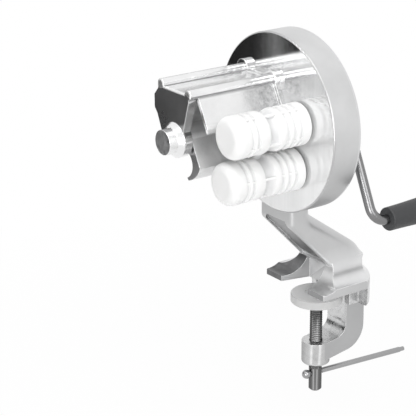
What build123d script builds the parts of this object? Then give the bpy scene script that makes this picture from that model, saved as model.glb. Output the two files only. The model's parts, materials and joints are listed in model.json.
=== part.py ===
"""Clamp-on cavatelli maker with a hand crank: cast housing, roller pair, rotary cutter and table clamp.

Millimetres. +Z is up and +Y runs from the rollers towards the crank. The origin is the point of the
jaw's underside, which rests on the table, that lies over the clamp screw's axis.
"""
from build123d import *
from math import acos, atan2, cos, degrees, pi, radians, sin, tan
import os

# ---- clearances ----
RUNNING_FIT = 0.04      # radial gap of a shaft in its bush
SEAT_FIT = 0.02         # radial gap of a seated piece in its bore
FREE_GAP = 0.4          # gap between pieces that pass each other
CUT_OVERRUN = 1.0       # how far a cutting shape runs past the face that it opens

# ---- drum housing ----
DRUM_RADIUS = 65.0
DRUM_AXIS_HEIGHT = 130.5
DRUM_FACE_Y = -41.0
DRUM_DEPTH = 22.0
DRUM_WALL = 3.5
FACE_WALL = 4.0
DRUM_EDGE_FILLET = 1.2
BUSH_BOSS_RADIUS = 9.5
BUSH_BOSS_DEPTH = 8.0

# ---- back cover ----
COVER_THICKNESS = 2.0
COVER_BOSS_RADIUS = 10.0
COVER_BOSS_DEPTH = 2.0
COVER_SCREW_COUNT = 4
COVER_SCREW_CIRCLE_RADIUS = 58.0       # from the drum's axis
COVER_SCREW_FIRST_ANGLE = 70.0
COVER_SCREW_LENGTH = 10.0
COVER_SCREW_BOSS_RADIUS = 4.2
SCREW_RADIUS = 2.0
SCREW_HEAD_RADIUS = 3.6
SCREW_HEAD_HEIGHT = 1.9
SCREW_SLOT_WIDTH = 1.0
SCREW_TIP_GAP = 1.0         # empty bore left beyond a screw's tip

# ---- gear train ----
GEAR_MODULE = 1.5
PRESSURE_ANGLE = 20.0
BACKLASH = 0.22
TOOTH_DEDENDUM = 1.25    # depth of a tooth below the pitch circle, in modules
FLANK_STEPS = 4          # straight lengths in one tooth's flank
ROLLER_GEAR_TEETH = 23
DRIVE_GEAR_TEETH = 40
PINION_TEETH = 22
GEAR_WIDTH = 4.2
ROLLER_GEAR_Y = 9.0     # behind the drum's front face
DRIVE_GEAR_Y = 15.2     # behind the drum's front face
GEAR_HUB_RADIUS = 8.0

# ---- shafts ----
UPPER_ROLLER_X = 28.5
UPPER_ROLLER_RISE = 6.8
LOWER_ROLLER_ANGLE = -99.25     # direction of the lower roller from the upper one
CUTTER_ANGLE = 192.0            # direction of the cutter from the upper roller
SHAFT_RADIUS = 5.0
SHAFT_FLAT = 4.0                # distance of a driving flat from the shaft's axis
JOURNAL_RADIUS = 4.0            # the crank shaft behind its gears
JOURNAL_FLAT = 3.2
JOURNAL_BUSH_RADIUS = 6.0
CUTTER_TAIL_BUSH_RADIUS = 6.4
SHAFT_LIP = 0.6                 # shaft left beyond a clip's groove
BUSH_RADIUS = 7.0
BUSH_FLANGE_RADIUS = 8.6
BUSH_FLANGE = 0.8
CLIP_RADIUS = 7.4
CLIP_THICKNESS = 0.8
CLIP_GROOVE_DEPTH = 0.8
CLIP_GAP = 2.2
PIN_RADIUS = 1.5
PIN_INSET = 3.0
PIN_LENGTH = 18.0

# ---- rollers ----
ROLLER_RADIUS = 15.2
ROLLER_LENGTH = 61.8
ROLLER_GAP = 2.2                # between the drum's face and the roller
ROLLER_END_FILLET = 6.0
ROLLER_CLEARANCE = 0.6          # between a roller and the hood's flange
CAP_LENGTH = 11.6
CAP_EASE = 0.9                  # length over which the cap runs down to the first groove
BAND_SHOULDER = 0.5             # how far the edge of a groove lies below the roller's surface
GROOVE = (2.6, 1.6)             # length and depth
VALLEY = (9.2, 3.1)             # length and depth
BANDS = (
    GROOVE, (2.6, 0), GROOVE, (7.8, 0), VALLEY, (5.3, 0), GROOVE, (3.1, 0), GROOVE, (3.1, 0), GROOVE,
)
RIB_COUNT = 4
RIB_WIDTH = 1.6
RIB_SINK = 0.35                 # ribs lie this far below the roller's surface
UPPER_RIB_ANGLE = 62.0
LOWER_RIB_ANGLE = 10.0
ROLLER_SOCKET_DEPTH = 46.0

# ---- cutter rotor ----
ROTOR_RADIUS = 30.0
ROTOR_GAP = 2.4                 # between the drum's face and the rotor
ROTOR_END_GAP = 1.2             # between the rotor and the hood's bearing arm
ROTOR_HUB_RADIUS = 9.4
BLADE_COUNT = 2
BLADE_SHOULDER_RADIUS = 26.0
BLADE_CREST_RADIUS = 28.6
BLADE_SHOULDER_ANGLE = -43.0
BLADE_TIP_ANGLE = -80.0
BLADE_HOLLOW_RADIUS = 21.3
BLADE_HOLLOW_ANGLE = -61.5
BLADE_LIP_RADIUS = 28.0         # inner corner of the blade's blunt edge
BLADE_LIP_ANGLE = -82.5
BLADE_ROOT_ANGLE = 14.0
BLADE_HEEL_ANGLE = -66.0

# ---- hood over the cutter, measured from the cutter's axis ----
HOOD_LENGTH = 67.6
HOOD_WALL = 2.4
HOOD_FLAP_ANGLE = 28.0          # direction that the flap's face looks
HOOD_FLAP_END = 9.8
HOOD_TOP = 33.2
HOOD_SIDE = 22.7
HOOD_SIDE_END = 20.0
HOOD_SIDE_TOP = 27.0
HOOD_CORNER = 17.0
RIDGE_RADIUS = 3.4
RIDGE_FLANGE_RADIUS = 6.4
LEFT_RIDGE = (-15.8, 36.9)
RIGHT_RIDGE = (16.4, 35.4)
FLANGE_THICKNESS = 4.0
FLANGE_MARGIN = 2.4
HOOD_SCREW_LENGTH = 16.0

# ---- bearing arm at the hood's end ----
ARM_THICKNESS = 6.4
ARM_RIM = 1.6
ARM_RIGHT_SHOULDER = (17.0, 29.9)   # corners of the arm, from the cutter's axis
ARM_RIGHT_WAIST = (9.3, 4.9)
ARM_LEFT_WAIST = (-12.5, -4.0)
ARM_LEFT_ELBOW = (-20.6, 14.5)
ARM_BOSS_RADIUS = 8.9
ARM_BOSS_ROOT_RADIUS = 12.6
ARM_BOSS_LENGTH = 10.0
ARM_BOSS_TAPER = 0.6
ARM_BOSS_FLARE = 3.6
ARM_BOSS_END_WALL = 4.0
OIL_HOLE_RADIUS = 1.4

# ---- clamp casting ----
JAW_HALF_WIDTH = 34.0
JAW_BACK_RADIUS = 39.5
JAW_EDGE = 6.5
JAW_FLANK_RISE = 14.0
FLANK_SAG = 0.32                # share of the way in and up at the flank's middle
JAW_BACK_SWEEP = (35.3, 9.6)    # a point of the sweep from the rim to the neck's back
JAW_RIM_EDGE = 3.0
FOOT_SWEEP_Y = -7.5
FOOT_SWEEP_Z = 7.9
FOOT_TIP_Y = -21.5
FOOT_TIP_THICKNESS = 4.0
NOTCH_TIP_HALF_WIDTH = 15.4
NOTCH_ROOT_HALF_WIDTH = 10.0
NOTCH_ROOT_Y = 1.2
LIP_DROP = 15.5
LIP_HALF_WIDTH = 22.0
LIP_FRONT_Y = 13.6
LIP_POST_Y = 22.0
NECK_HALF_WIDTH = 18.6
NECK_BACK_FILLET = 11.0
NECK_FRONT_FILLET = 3.0
NECK_HEAD_FILLET = 5.0
NECK_CHANNEL_HALF_WIDTH = 14.6
NECK_CHANNEL_DEPTH = 2.2
NECK_CHANNEL_CORNER = 13.6      # radius of the channel's round end
NECK_CHANNEL_FOOT = 2.0          # solid metal left at the channel's lower end
NECK_CHANNEL_RUN_OUT = 6.0      # how far the channel's round end runs past the neck's corner
NECK_FOOT_Y = -1.0
NECK_FOOT_Z = 16.5
NECK_HEAD_Y = -39.5
NECK_HEAD_Z = 56.0
NECK_BACK_Y = 34.5
NECK_BACK_TOP_Z = 61.0
NECK_KNEE_Z = 23.0
NECK_KNEE_RADIUS = 25.0
NECK_ARMPIT_RADIUS = 6.0        # hollow between the drum's back and the neck's back

# ---- C frame below the jaw ----
FRAME_HALF_WIDTH = 10.8
FRAME_BACK_Y = 38.0
FRAME_FRONT_Y = 20.3
FRAME_BOTTOM_Z = -62.0
FRAME_THROAT_Z = -48.2
FRAME_SLOPE = 5.8               # rise of the lower arm between the boss and the back
FRAME_OUTER_RADIUS = 18.0
FRAME_INNER_RADIUS = 9.5
BOSS_RADIUS = 10.8
BOSS_TOP_Z = -48.2
BOSS_HEIGHT = 18.1
BOSS_EDGE = 2.0

# ---- clamp screw, pad and tommy bar ----
THREAD_RADIUS = 5.0
SCREW_END_Z = -89.4
SCREW_END_CHAMFER = 1.3
PAD_RADIUS = 19.5
PAD_THICKNESS = 6.7
PAD_TOP_Z = -9.4
PAD_EDGE = 1.0
PAD_DISH_RADIUS = 9.0
PAD_DISH_DEPTH = 0.6
PAD_TRAVEL_DOWN = 18.0
PAD_RELIEF_GAP = 2.0
PAD_FACE_GAP = 0.3              # between the pad and the screw's shoulder
PIVOT_RADIUS = 3.5
PIVOT_LENGTH = 4.4
TOMMY_Z = -75.3
TOMMY_ANGLE = 84.0
TOMMY_BALL_RADIUS = 3.5
TOMMY_BALL_DISTANCE = 8.0
TOMMY_NECK_RADIUS = 1.9
TOMMY_RADIUS = 2.1
TOMMY_SHOULDER = 5.6
TOMMY_REACH = 83.0
TOMMY_TIP_LENGTH = 4.0
TOMMY_TIP_RADIUS = 1.7

# ---- crank ----
CRANK_PLANE_Y = 40.6            # behind the drum's front face
CRANK_LENGTH = 80.0
CRANK_ANGLE = -65.5
CRANK_ROD_RADIUS = 3.6
CRANK_BEND_RADIUS = 11.0
HUB_RADIUS = 8.0
HUB_LENGTH = 12.0
HUB_EDGE = 1.0
SPACER_RADIUS = 7.5
HUB_END_WALL = 2.0
ROD_SOCKET_START = 4.8          # from the hub's axis
SET_SCREW_RADIUS = 2.5
SET_SCREW_SINK = 0.4
SET_SCREW_SOCKET_RADIUS = 1.3
SET_SCREW_SOCKET_DEPTH = 2.6
GRIP_START_Y = 53.0             # behind the drum's front face
GRIP_LENGTH = 88.0
GRIP_END_RADIUS = 8.5
GRIP_SHOULDER_RADIUS = 9.0
GRIP_SHOULDER_AT = 22.0
GRIP_BELLY_RADIUS = 10.2
GRIP_BELLY_AT = 58.0
GRIP_TAIL_RADIUS = 8.8
GRIP_EDGE = 1.0
GRIP_END_GAP = 0.3              # between the grip and its cap
CAP_RADIUS = 6.6
CAP_THICKNESS = 2.4
CAP_STEM_RADIUS = 2.0
CAP_STEM_LENGTH = 6.0

# ---- places that follow ----
ROLLER_CENTRES = GEAR_MODULE * ROLLER_GEAR_TEETH
CUTTER_CENTRES = GEAR_MODULE * (DRIVE_GEAR_TEETH + PINION_TEETH) / 2
UPPER = (UPPER_ROLLER_X, DRUM_AXIS_HEIGHT + UPPER_ROLLER_RISE)
LOWER = (
    UPPER[0] + ROLLER_CENTRES * cos(radians(LOWER_ROLLER_ANGLE)),
    UPPER[1] + ROLLER_CENTRES * sin(radians(LOWER_ROLLER_ANGLE)),
)
CUTTER = (
    UPPER[0] + CUTTER_CENTRES * cos(radians(CUTTER_ANGLE)),
    UPPER[1] + CUTTER_CENTRES * sin(radians(CUTTER_ANGLE)),
)
DRUM_CENTRE = (0.0, DRUM_AXIS_HEIGHT)
COVER_Y = DRUM_FACE_Y + DRUM_DEPTH
ROLLER_BACK_Y = DRUM_FACE_Y - ROLLER_GAP
ARM_BACK_Y = DRUM_FACE_Y - HOOD_LENGTH
ARM_FRONT_Y = ARM_BACK_Y - ARM_THICKNESS
BOSS_FRONT_Y = ARM_FRONT_Y - ARM_BOSS_LENGTH
ROTOR_LENGTH = HOOD_LENGTH - ROTOR_GAP - ROTOR_END_GAP
GRIP_AXIS = (
    UPPER[0] + CRANK_LENGTH * cos(radians(CRANK_ANGLE)),
    UPPER[1] + CRANK_LENGTH * sin(radians(CRANK_ANGLE)),
)
GRIP_Y = DRUM_FACE_Y + GRIP_START_Y
ARM_PLANE_Y = DRUM_FACE_Y + CRANK_PLANE_Y
HUB_START_Y = ARM_PLANE_Y - HUB_LENGTH / 2
HUB_END_Y = ARM_PLANE_Y + HUB_LENGTH / 2
ROLLER_GEAR_START = DRUM_FACE_Y + ROLLER_GEAR_Y
ROLLER_GEAR_END = ROLLER_GEAR_START + GEAR_WIDTH
DRIVE_GEAR_START = DRUM_FACE_Y + DRIVE_GEAR_Y
DRIVE_GEAR_END = DRIVE_GEAR_START + GEAR_WIDTH
COVER_BACK_Y = COVER_Y + COVER_THICKNESS
ROLLER_PIN_Y = ROLLER_BACK_Y - PIN_INSET
CUTTER_PIN_Y = DRUM_FACE_Y - ROTOR_GAP - PIN_INSET
SHAFT_START_Y = ROLLER_BACK_Y - ROLLER_SOCKET_DEPTH
TAIL_BUSH_START = BOSS_FRONT_Y + ARM_BOSS_END_WALL


# ---- helpers ----
def polar(radius, angle):
    """A point (x, z) at an angle in degrees from +X towards +Z."""
    return (radius * cos(radians(angle)), radius * sin(radians(angle)))


def moved(point, centre):
    """A point (x, z) given from centre, in the part's own frame."""
    return (point[0] + centre[0], point[1] + centre[1])


def slab_y(sketch, y0, y1):
    """A sketch drawn in (x, z), made solid from y0 to y1."""
    return extrude(Plane.XZ.offset(-y1) * sketch, amount=y1 - y0)


def slab_x(sketch, x0, x1):
    """A sketch drawn in (y, z), made solid from x0 to x1."""
    return extrude(Plane.YZ.offset(x0) * sketch, amount=x1 - x0)


def slab_z(sketch, z0, z1):
    """A sketch drawn in (x, y), made solid from z0 to z1."""
    return extrude(Plane.XY.offset(z0) * sketch, amount=z1 - z0)


def rod_y(radius, y0, y1, centre):
    """A round rod along Y about centre (x, z)."""
    return slab_y(Pos(*centre) * Circle(radius), y0, y1)


def rod_z(radius, z0, z1):
    """A round rod along the clamp screw's axis."""
    return slab_z(Circle(radius), z0, z1)


def turned_y(profile, centre):
    """A profile of (radius, y) points, turned about the Y line through centre (x, z)."""
    face = make_face(Polyline(*profile, close=True))
    placed = Location((centre[0], 0, centre[1])) * face
    return revolve(placed, Axis((centre[0], 0, centre[1]), (0, 1, 0)))


def area(points):
    """The flat face inside a closed run of points."""
    return make_face(Polyline(*points, close=True))


def d_section(radius, flat, angle):
    """A circle with one flat that looks along angle, for a shaft that drives what it carries."""
    return Circle(radius) - Rot(0, 0, angle) * Pos(flat + radius, 0) * Rectangle(2 * radius, 4 * radius)


def export(name, shape):
    """Writes one piece's STEP file."""
    export_step(shape, f"parts/{name}.step")


# ---- gears ----
def gear_outline(teeth, phase):
    """An involute spur gear's outline, with one tooth centred on the angle phase."""
    pitch = GEAR_MODULE * teeth / 2
    base = pitch * cos(radians(PRESSURE_ANGLE))
    root = pitch - TOOTH_DEDENDUM * GEAR_MODULE
    tip = pitch + GEAR_MODULE
    involute_at_pitch = tan(radians(PRESSURE_ANGLE)) - radians(PRESSURE_ANGLE)
    half_tooth = pi / (2 * teeth) - BACKLASH / (4 * pitch) + involute_at_pitch
    start = max(base, root)
    flank = [start + (tip - start) * step / FLANK_STEPS for step in range(FLANK_STEPS + 1)]
    side = []
    if root < base:
        side.append((root, half_tooth))
    for radius in flank:
        roll = acos(min(1.0, base / radius))
        side.append((radius, half_tooth - tan(roll) + roll))
    points = []
    for tooth in range(teeth):
        middle = radians(phase) + 2 * pi * tooth / teeth
        for radius, half in side:
            points.append((radius * cos(middle - half), radius * sin(middle - half)))
        for radius, half in reversed(side):
            points.append((radius * cos(middle + half), radius * sin(middle + half)))
    return area(points)


def spur_gear(teeth, phase, y0, centre):
    """A spur gear on a shaft's driving flat."""
    bore = d_section(SHAFT_RADIUS + SEAT_FIT, SHAFT_FLAT + SEAT_FIT, 90)
    return slab_y(Pos(*centre) * (gear_outline(teeth, phase) - bore), y0, y0 + GEAR_WIDTH)


def gear_hub(y0, y1, centre):
    """The plain boss that spaces a gear along its shaft."""
    bore = d_section(SHAFT_RADIUS + SEAT_FIT, SHAFT_FLAT + SEAT_FIT, 90)
    return slab_y(Pos(*centre) * (Circle(GEAR_HUB_RADIUS) - bore), y0, y1)


def direction(start, end):
    """The angle in degrees at which end lies from start."""
    return degrees(atan2(end[1] - start[1], end[0] - start[0]))


def upper_roller_gear():
    """The gear that drives the lower roller."""
    return spur_gear(ROLLER_GEAR_TEETH, direction(UPPER, LOWER), ROLLER_GEAR_START, UPPER)


def lower_roller_gear():
    """The same gear on the lower shaft, half a tooth round."""
    phase = direction(LOWER, UPPER) + 180.0 / ROLLER_GEAR_TEETH
    return spur_gear(ROLLER_GEAR_TEETH, phase, ROLLER_GEAR_START, LOWER)


def drive_gear():
    """The large gear that drives the cutter, with the boss that spaces it from the roller gear."""
    gear = spur_gear(DRIVE_GEAR_TEETH, direction(UPPER, CUTTER), DRIVE_GEAR_START, UPPER)
    return gear + gear_hub(ROLLER_GEAR_END, DRIVE_GEAR_START, UPPER)


def cutter_pinion():
    """The small gear on the cutter's shaft, which makes the cutter run faster than the crank."""
    phase = direction(CUTTER, UPPER) + 180.0 / PINION_TEETH
    gear = spur_gear(PINION_TEETH, phase, DRIVE_GEAR_START, CUTTER)
    return gear + gear_hub(ROLLER_GEAR_START, DRIVE_GEAR_START, CUTTER)


# ---- housing casting ----
def screw_places():
    """Where the back cover's screws stand."""
    step = 360.0 / COVER_SCREW_COUNT
    angles = [COVER_SCREW_FIRST_ANGLE + step * index for index in range(COVER_SCREW_COUNT)]
    return [moved(polar(COVER_SCREW_CIRCLE_RADIUS, angle), DRUM_CENTRE) for angle in angles]


def drum_block():
    """The outside of the round gear case."""
    case = rod_y(DRUM_RADIUS, DRUM_FACE_Y, COVER_Y, DRUM_CENTRE)
    return fillet(case.edges().group_by(Axis.Y)[0], DRUM_EDGE_FILLET)


def neck_side():
    """The neck seen from the side, from inside the drum down to the jaw."""
    inside_drum = DRUM_AXIS_HEIGHT - DRUM_RADIUS + 2 * DRUM_WALL
    side = area([
        (NECK_FOOT_Y, 0),
        (NECK_FOOT_Y, NECK_FOOT_Z),
        (NECK_HEAD_Y, NECK_HEAD_Z),
        (NECK_HEAD_Y, inside_drum),
        (COVER_Y, inside_drum),
        (COVER_Y, NECK_BACK_TOP_Z),
        (NECK_BACK_Y, NECK_KNEE_Z),
        (NECK_BACK_Y, 0),
    ])
    armpit = side.vertices().sort_by_distance((COVER_Y, NECK_BACK_TOP_Z, 0))[0]
    side = fillet(armpit, NECK_ARMPIT_RADIUS)
    knee = side.vertices().sort_by_distance((NECK_BACK_Y, NECK_KNEE_Z, 0))[0]
    side = fillet(knee, NECK_KNEE_RADIUS)
    head = side.vertices().sort_by_distance((NECK_HEAD_Y, NECK_HEAD_Z, 0))[0]
    return fillet(head, NECK_HEAD_FILLET)


def neck():
    """The slanting neck between the drum and the jaw, with rounded long edges."""
    body = slab_x(neck_side(), -NECK_HALF_WIDTH, NECK_HALF_WIDTH)
    outline = [edge for face in body.faces().filter_by(Axis.X) for edge in face.edges()]
    back = [edge for edge in outline if is_neck_back(edge.center())]
    body = fillet(back, NECK_BACK_FILLET)
    outline = [edge for face in body.faces().filter_by(Axis.X) for edge in face.edges()]
    front = [edge for edge in outline if is_neck_front(edge.center())]
    body = fillet(front, NECK_FRONT_FILLET) - neck_channel()
    return body - slab_z(foot_notch(), 0, NECK_FOOT_Z)


def is_neck_back(point):
    """Whether an edge of the neck's outline lies on its back."""
    slope = (NECK_BACK_Y - COVER_Y) / (NECK_BACK_TOP_Z - NECK_KNEE_Z)
    line = COVER_Y + (NECK_BACK_TOP_Z - point.Z) * slope
    line = max(COVER_Y, min(line, NECK_BACK_Y))
    return 0 < point.Z and point.Y > line - NECK_BACK_FILLET / 2


def is_neck_front(point):
    """Whether an edge of the neck's outline lies on its sloping front or on the front above it."""
    slope = (NECK_HEAD_Y - NECK_FOOT_Y) / (NECK_HEAD_Z - NECK_FOOT_Z)
    line = max(NECK_FOOT_Y + (point.Z - NECK_FOOT_Z) * slope, NECK_HEAD_Y)
    return NECK_FOOT_Z < point.Z and point.Y < line + NECK_FRONT_FILLET


def neck_channel():
    """The shallow channel cast into the neck's front face, with a round upper end."""
    foot = Vector(0, NECK_FOOT_Y, NECK_FOOT_Z)
    run = Vector(0, NECK_HEAD_Y, NECK_HEAD_Z) - foot
    slope = Plane(origin=foot, x_dir=run, z_dir=run.cross(Vector(1, 0, 0)))
    length = run.length + NECK_CHANNEL_RUN_OUT - NECK_CHANNEL_FOOT
    mouth = Pos(NECK_CHANNEL_FOOT + length / 2, 0) * Rectangle(length, 2 * NECK_CHANNEL_HALF_WIDTH)
    far = mouth.vertices().group_by(Axis.X)[-1]
    mouth = fillet(far, NECK_CHANNEL_CORNER)
    return extrude(slope * mouth, amount=NECK_CHANNEL_DEPTH, both=True)


def jaw_plan():
    """The jaw seen from above: two feet with a notch between them and a round back."""
    length = JAW_BACK_RADIUS - FOOT_TIP_Y
    blank = Pos(0, FOOT_TIP_Y + length / 2) * Rectangle(2 * JAW_HALF_WIDTH, length)
    return Circle(JAW_BACK_RADIUS) & blank


def foot_notch():
    """The notch between the two feet, seen from above."""
    return area([
        (-NOTCH_TIP_HALF_WIDTH, FOOT_TIP_Y),
        (NOTCH_TIP_HALF_WIDTH, FOOT_TIP_Y),
        (NOTCH_ROOT_HALF_WIDTH, NOTCH_ROOT_Y),
        (-NOTCH_ROOT_HALF_WIDTH, NOTCH_ROOT_Y),
    ])


def jaw_side():
    """The jaw seen from the side: feet that sweep up to the neck."""
    top = JAW_EDGE + JAW_FLANK_RISE
    tip = (FOOT_TIP_Y, FOOT_TIP_THICKNESS)
    root = (NECK_FOOT_Y, NECK_FOOT_Z)
    rest = Polyline(
        root,
        (NECK_FOOT_Y, top),
        (JAW_BACK_RADIUS, top),
        (JAW_BACK_RADIUS, -LIP_DROP),
        (FOOT_TIP_Y, -LIP_DROP),
        tip,
    )
    return make_face([ThreePointArc(tip, (FOOT_SWEEP_Y, FOOT_SWEEP_Z), root), *rest.edges()])


def jaw_round():
    """The jaw's round back: a rim with rounded edges that sweeps up to the neck's back."""
    top = JAW_EDGE + JAW_FLANK_RISE
    low = (JAW_BACK_RADIUS, -LIP_DROP)
    rim = (JAW_BACK_RADIUS, JAW_EDGE)
    rest = Polyline((NECK_BACK_Y, top), (0, top), (0, -LIP_DROP), low, rim)
    face = make_face([ThreePointArc(rim, JAW_BACK_SWEEP, (NECK_BACK_Y, top)), *rest.edges()])
    for corner in (low, rim):
        face = fillet(face.vertices().sort_by_distance((*corner, 0))[0], JAW_RIM_EDGE)
    return revolve(Plane.XZ * face, Axis.Z)


def jaw_front():
    """The jaw seen from the front: a plain edge and flanks that sweep up to the neck."""
    shoulder = (NECK_HALF_WIDTH, JAW_EDGE + JAW_FLANK_RISE)
    edge = (JAW_HALF_WIDTH, JAW_EDGE)
    middle = (
        NECK_HALF_WIDTH + (JAW_HALF_WIDTH - NECK_HALF_WIDTH) * FLANK_SAG,
        JAW_EDGE + JAW_FLANK_RISE * FLANK_SAG,
    )
    rest = Polyline(shoulder, (0, shoulder[1]), (0, -LIP_DROP), (JAW_HALF_WIDTH, -LIP_DROP), edge)
    half = make_face([ThreePointArc(edge, middle, shoulder), *rest.edges()])
    return half + mirror(half, Plane.YZ)


def lip_plan():
    """The lip seen from above: a block behind the table's edge and the round back of the jaw."""
    block_depth = JAW_BACK_RADIUS - LIP_FRONT_Y
    block = Pos(0, LIP_FRONT_Y + block_depth / 2) * Rectangle(2 * LIP_HALF_WIDTH, block_depth)
    back_depth = JAW_BACK_RADIUS - LIP_POST_Y
    back = Pos(0, LIP_POST_Y + back_depth / 2) * Rectangle(2 * JAW_HALF_WIDTH, back_depth)
    return jaw_plan() & (block + back)


def jaw():
    """The fixed jaw: the plate that rests on the table and the lip that meets the table's edge."""
    plate = slab_z(jaw_plan() - foot_notch(), 0, JAW_EDGE + JAW_FLANK_RISE)
    body = plate + slab_z(lip_plan(), -LIP_DROP, 0)
    body &= slab_x(jaw_side(), -JAW_HALF_WIDTH, JAW_HALF_WIDTH)
    return body & slab_y(jaw_front(), FOOT_TIP_Y, JAW_BACK_RADIUS) & jaw_round()


def c_frame():
    """The C-shaped web below the jaw and the boss that holds the clamp screw."""
    outer = (FRAME_BACK_Y, FRAME_BOTTOM_Z + FRAME_SLOPE)
    inner = (FRAME_FRONT_Y, FRAME_THROAT_Z + FRAME_SLOPE * FRAME_FRONT_Y / FRAME_BACK_Y)
    side = area([
        (FRAME_FRONT_Y, 0),
        (FRAME_BACK_Y, 0),
        outer,
        (0, FRAME_BOTTOM_Z),
        (0, FRAME_THROAT_Z),
        inner,
    ])
    side = fillet(side.vertices().sort_by_distance((*outer, 0))[0], FRAME_OUTER_RADIUS)
    side = fillet(side.vertices().sort_by_distance((*inner, 0))[0], FRAME_INNER_RADIUS)
    return slab_x(side, -FRAME_HALF_WIDTH, FRAME_HALF_WIDTH)


def screw_boss():
    """The boss at the C frame's end, with a rounded lower edge."""
    boss = rod_z(BOSS_RADIUS, BOSS_TOP_Z - BOSS_HEIGHT, BOSS_TOP_Z)
    return fillet(boss.edges().group_by(Axis.Z)[0], BOSS_EDGE)


def clamp():
    """Neck, jaw, lip and C frame as one form, with room for the pad and the clamp screw."""
    pad_low = PAD_TOP_Z - PAD_THICKNESS - PAD_TRAVEL_DOWN - PAD_RELIEF_GAP
    body = neck() + jaw() + c_frame() + screw_boss()
    body -= rod_z(PAD_RADIUS + PAD_RELIEF_GAP, pad_low, 0)
    bore_top = BOSS_TOP_Z + THREAD_RADIUS
    return body - rod_z(THREAD_RADIUS + RUNNING_FIT, BOSS_TOP_Z - BOSS_HEIGHT, bore_top)


def housing():
    """The one casting that is gear case, neck, jaw and clamp frame."""
    body = drum_block() + clamp()
    body -= rod_y(DRUM_RADIUS - DRUM_WALL, DRUM_FACE_Y + FACE_WALL, COVER_Y + CUT_OVERRUN, DRUM_CENTRE)
    for centre in (UPPER, LOWER, CUTTER):
        body += rod_y(BUSH_BOSS_RADIUS, DRUM_FACE_Y + FACE_WALL, DRUM_FACE_Y + BUSH_BOSS_DEPTH, centre)
        body -= rod_y(BUSH_RADIUS + SEAT_FIT, DRUM_FACE_Y, DRUM_FACE_Y + BUSH_BOSS_DEPTH, centre)
    boss_start = COVER_Y - COVER_SCREW_LENGTH - SCREW_TIP_GAP
    inside = rod_y(DRUM_RADIUS - DRUM_WALL / 2, boss_start, COVER_Y, DRUM_CENTRE)
    for centre in screw_places():
        body += rod_y(COVER_SCREW_BOSS_RADIUS, boss_start, COVER_Y, centre) & inside
        body -= rod_y(SCREW_RADIUS + SEAT_FIT, boss_start, COVER_Y, centre)
    for centre in ridge_centres():
        body -= rod_y(SCREW_RADIUS + SEAT_FIT, DRUM_FACE_Y, DRUM_FACE_Y + FACE_WALL, centre)
    return body


# ---- hood casting with its bearing arm ----
def ridge_centres():
    """The axes of the hood's two ridges, which take its screws."""
    return [moved(LEFT_RIDGE, CUTTER), moved(RIGHT_RIDGE, CUTTER)]


def flap_x(height, wall):
    """How far the flap's face lies from the cutter's axis at a height above it."""
    normal = radians(HOOD_FLAP_ANGLE)
    return (ROTOR_RADIUS + FREE_GAP + wall - height * sin(normal)) / cos(normal)


def hood_outline(wall):
    """The hood's face from its left end over the top to the flap's end, a wall out from the inside."""
    normal = radians(HOOD_FLAP_ANGLE)
    flap_end = flap_x(HOOD_FLAP_END, 0)
    return [
        (-HOOD_SIDE - wall, HOOD_SIDE_END),
        (-HOOD_SIDE - wall, HOOD_SIDE_TOP + wall / 2),
        (-HOOD_CORNER - wall / 2, HOOD_TOP + wall),
        (flap_x(HOOD_TOP + wall, wall), HOOD_TOP + wall),
        (flap_end + wall * cos(normal), HOOD_FLAP_END + wall * sin(normal)),
    ]


def ridges(radius):
    """The two ridges' section: round tops on plain sides that stand on the hood's top."""
    section = Sketch()
    for x, z in ridge_centres():
        foot = CUTTER[1] + HOOD_TOP
        section += Pos(x, z) * Circle(radius)
        section += Pos(x, (z + foot) / 2) * Rectangle(2 * radius, z - foot)
    return section


def hood_skin(margin):
    """The hood's section as a skin; margin grows it for the flange."""
    outside = hood_outline(HOOD_WALL + margin)
    inside = hood_outline(0)
    return area([moved(point, CUTTER) for point in outside + inside[::-1]])


def arm_outline():
    """The bearing arm: a plate that narrows from the hood's width to the boss."""
    side_end, side_top, corner = hood_outline(HOOD_WALL)[:3]
    top_right = (ARM_RIGHT_SHOULDER[0], HOOD_TOP + HOOD_WALL)
    corners = [
        side_end,
        side_top,
        corner,
        top_right,
        ARM_RIGHT_SHOULDER,
        ARM_RIGHT_WAIST,
        (0, 0),
        ARM_LEFT_WAIST,
        ARM_LEFT_ELBOW,
    ]
    return area([moved(point, CUTTER) for point in corners])


def arm_boss():
    """The turned boss at the arm's end: a wide root that flares down to a plain nose."""
    root = ARM_BOSS_ROOT_RADIUS
    taper = ARM_BOSS_RADIUS + ARM_BOSS_TAPER
    profile = [
        (0, ARM_BACK_Y),
        (root, ARM_BACK_Y),
        (root, ARM_FRONT_Y),
        (taper, ARM_FRONT_Y - ARM_BOSS_FLARE),
        (ARM_BOSS_RADIUS, BOSS_FRONT_Y),
        (0, BOSS_FRONT_Y),
    ]
    return turned_y(profile, CUTTER)


def arm_plate():
    """The arm with its front rounded along the hood's side and top."""
    plate = slab_y(arm_outline(), ARM_FRONT_Y, ARM_BACK_Y)
    top = CUTTER[1] + HOOD_SIDE_END
    rim = plate.edges().group_by(Axis.Y)[0].filter_by(lambda edge: edge.center().Z > top)
    rim = rim.filter_by(lambda edge: edge.center().X < CUTTER[0] + ARM_RIGHT_WAIST[0])
    return fillet(rim, ARM_RIM)


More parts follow.
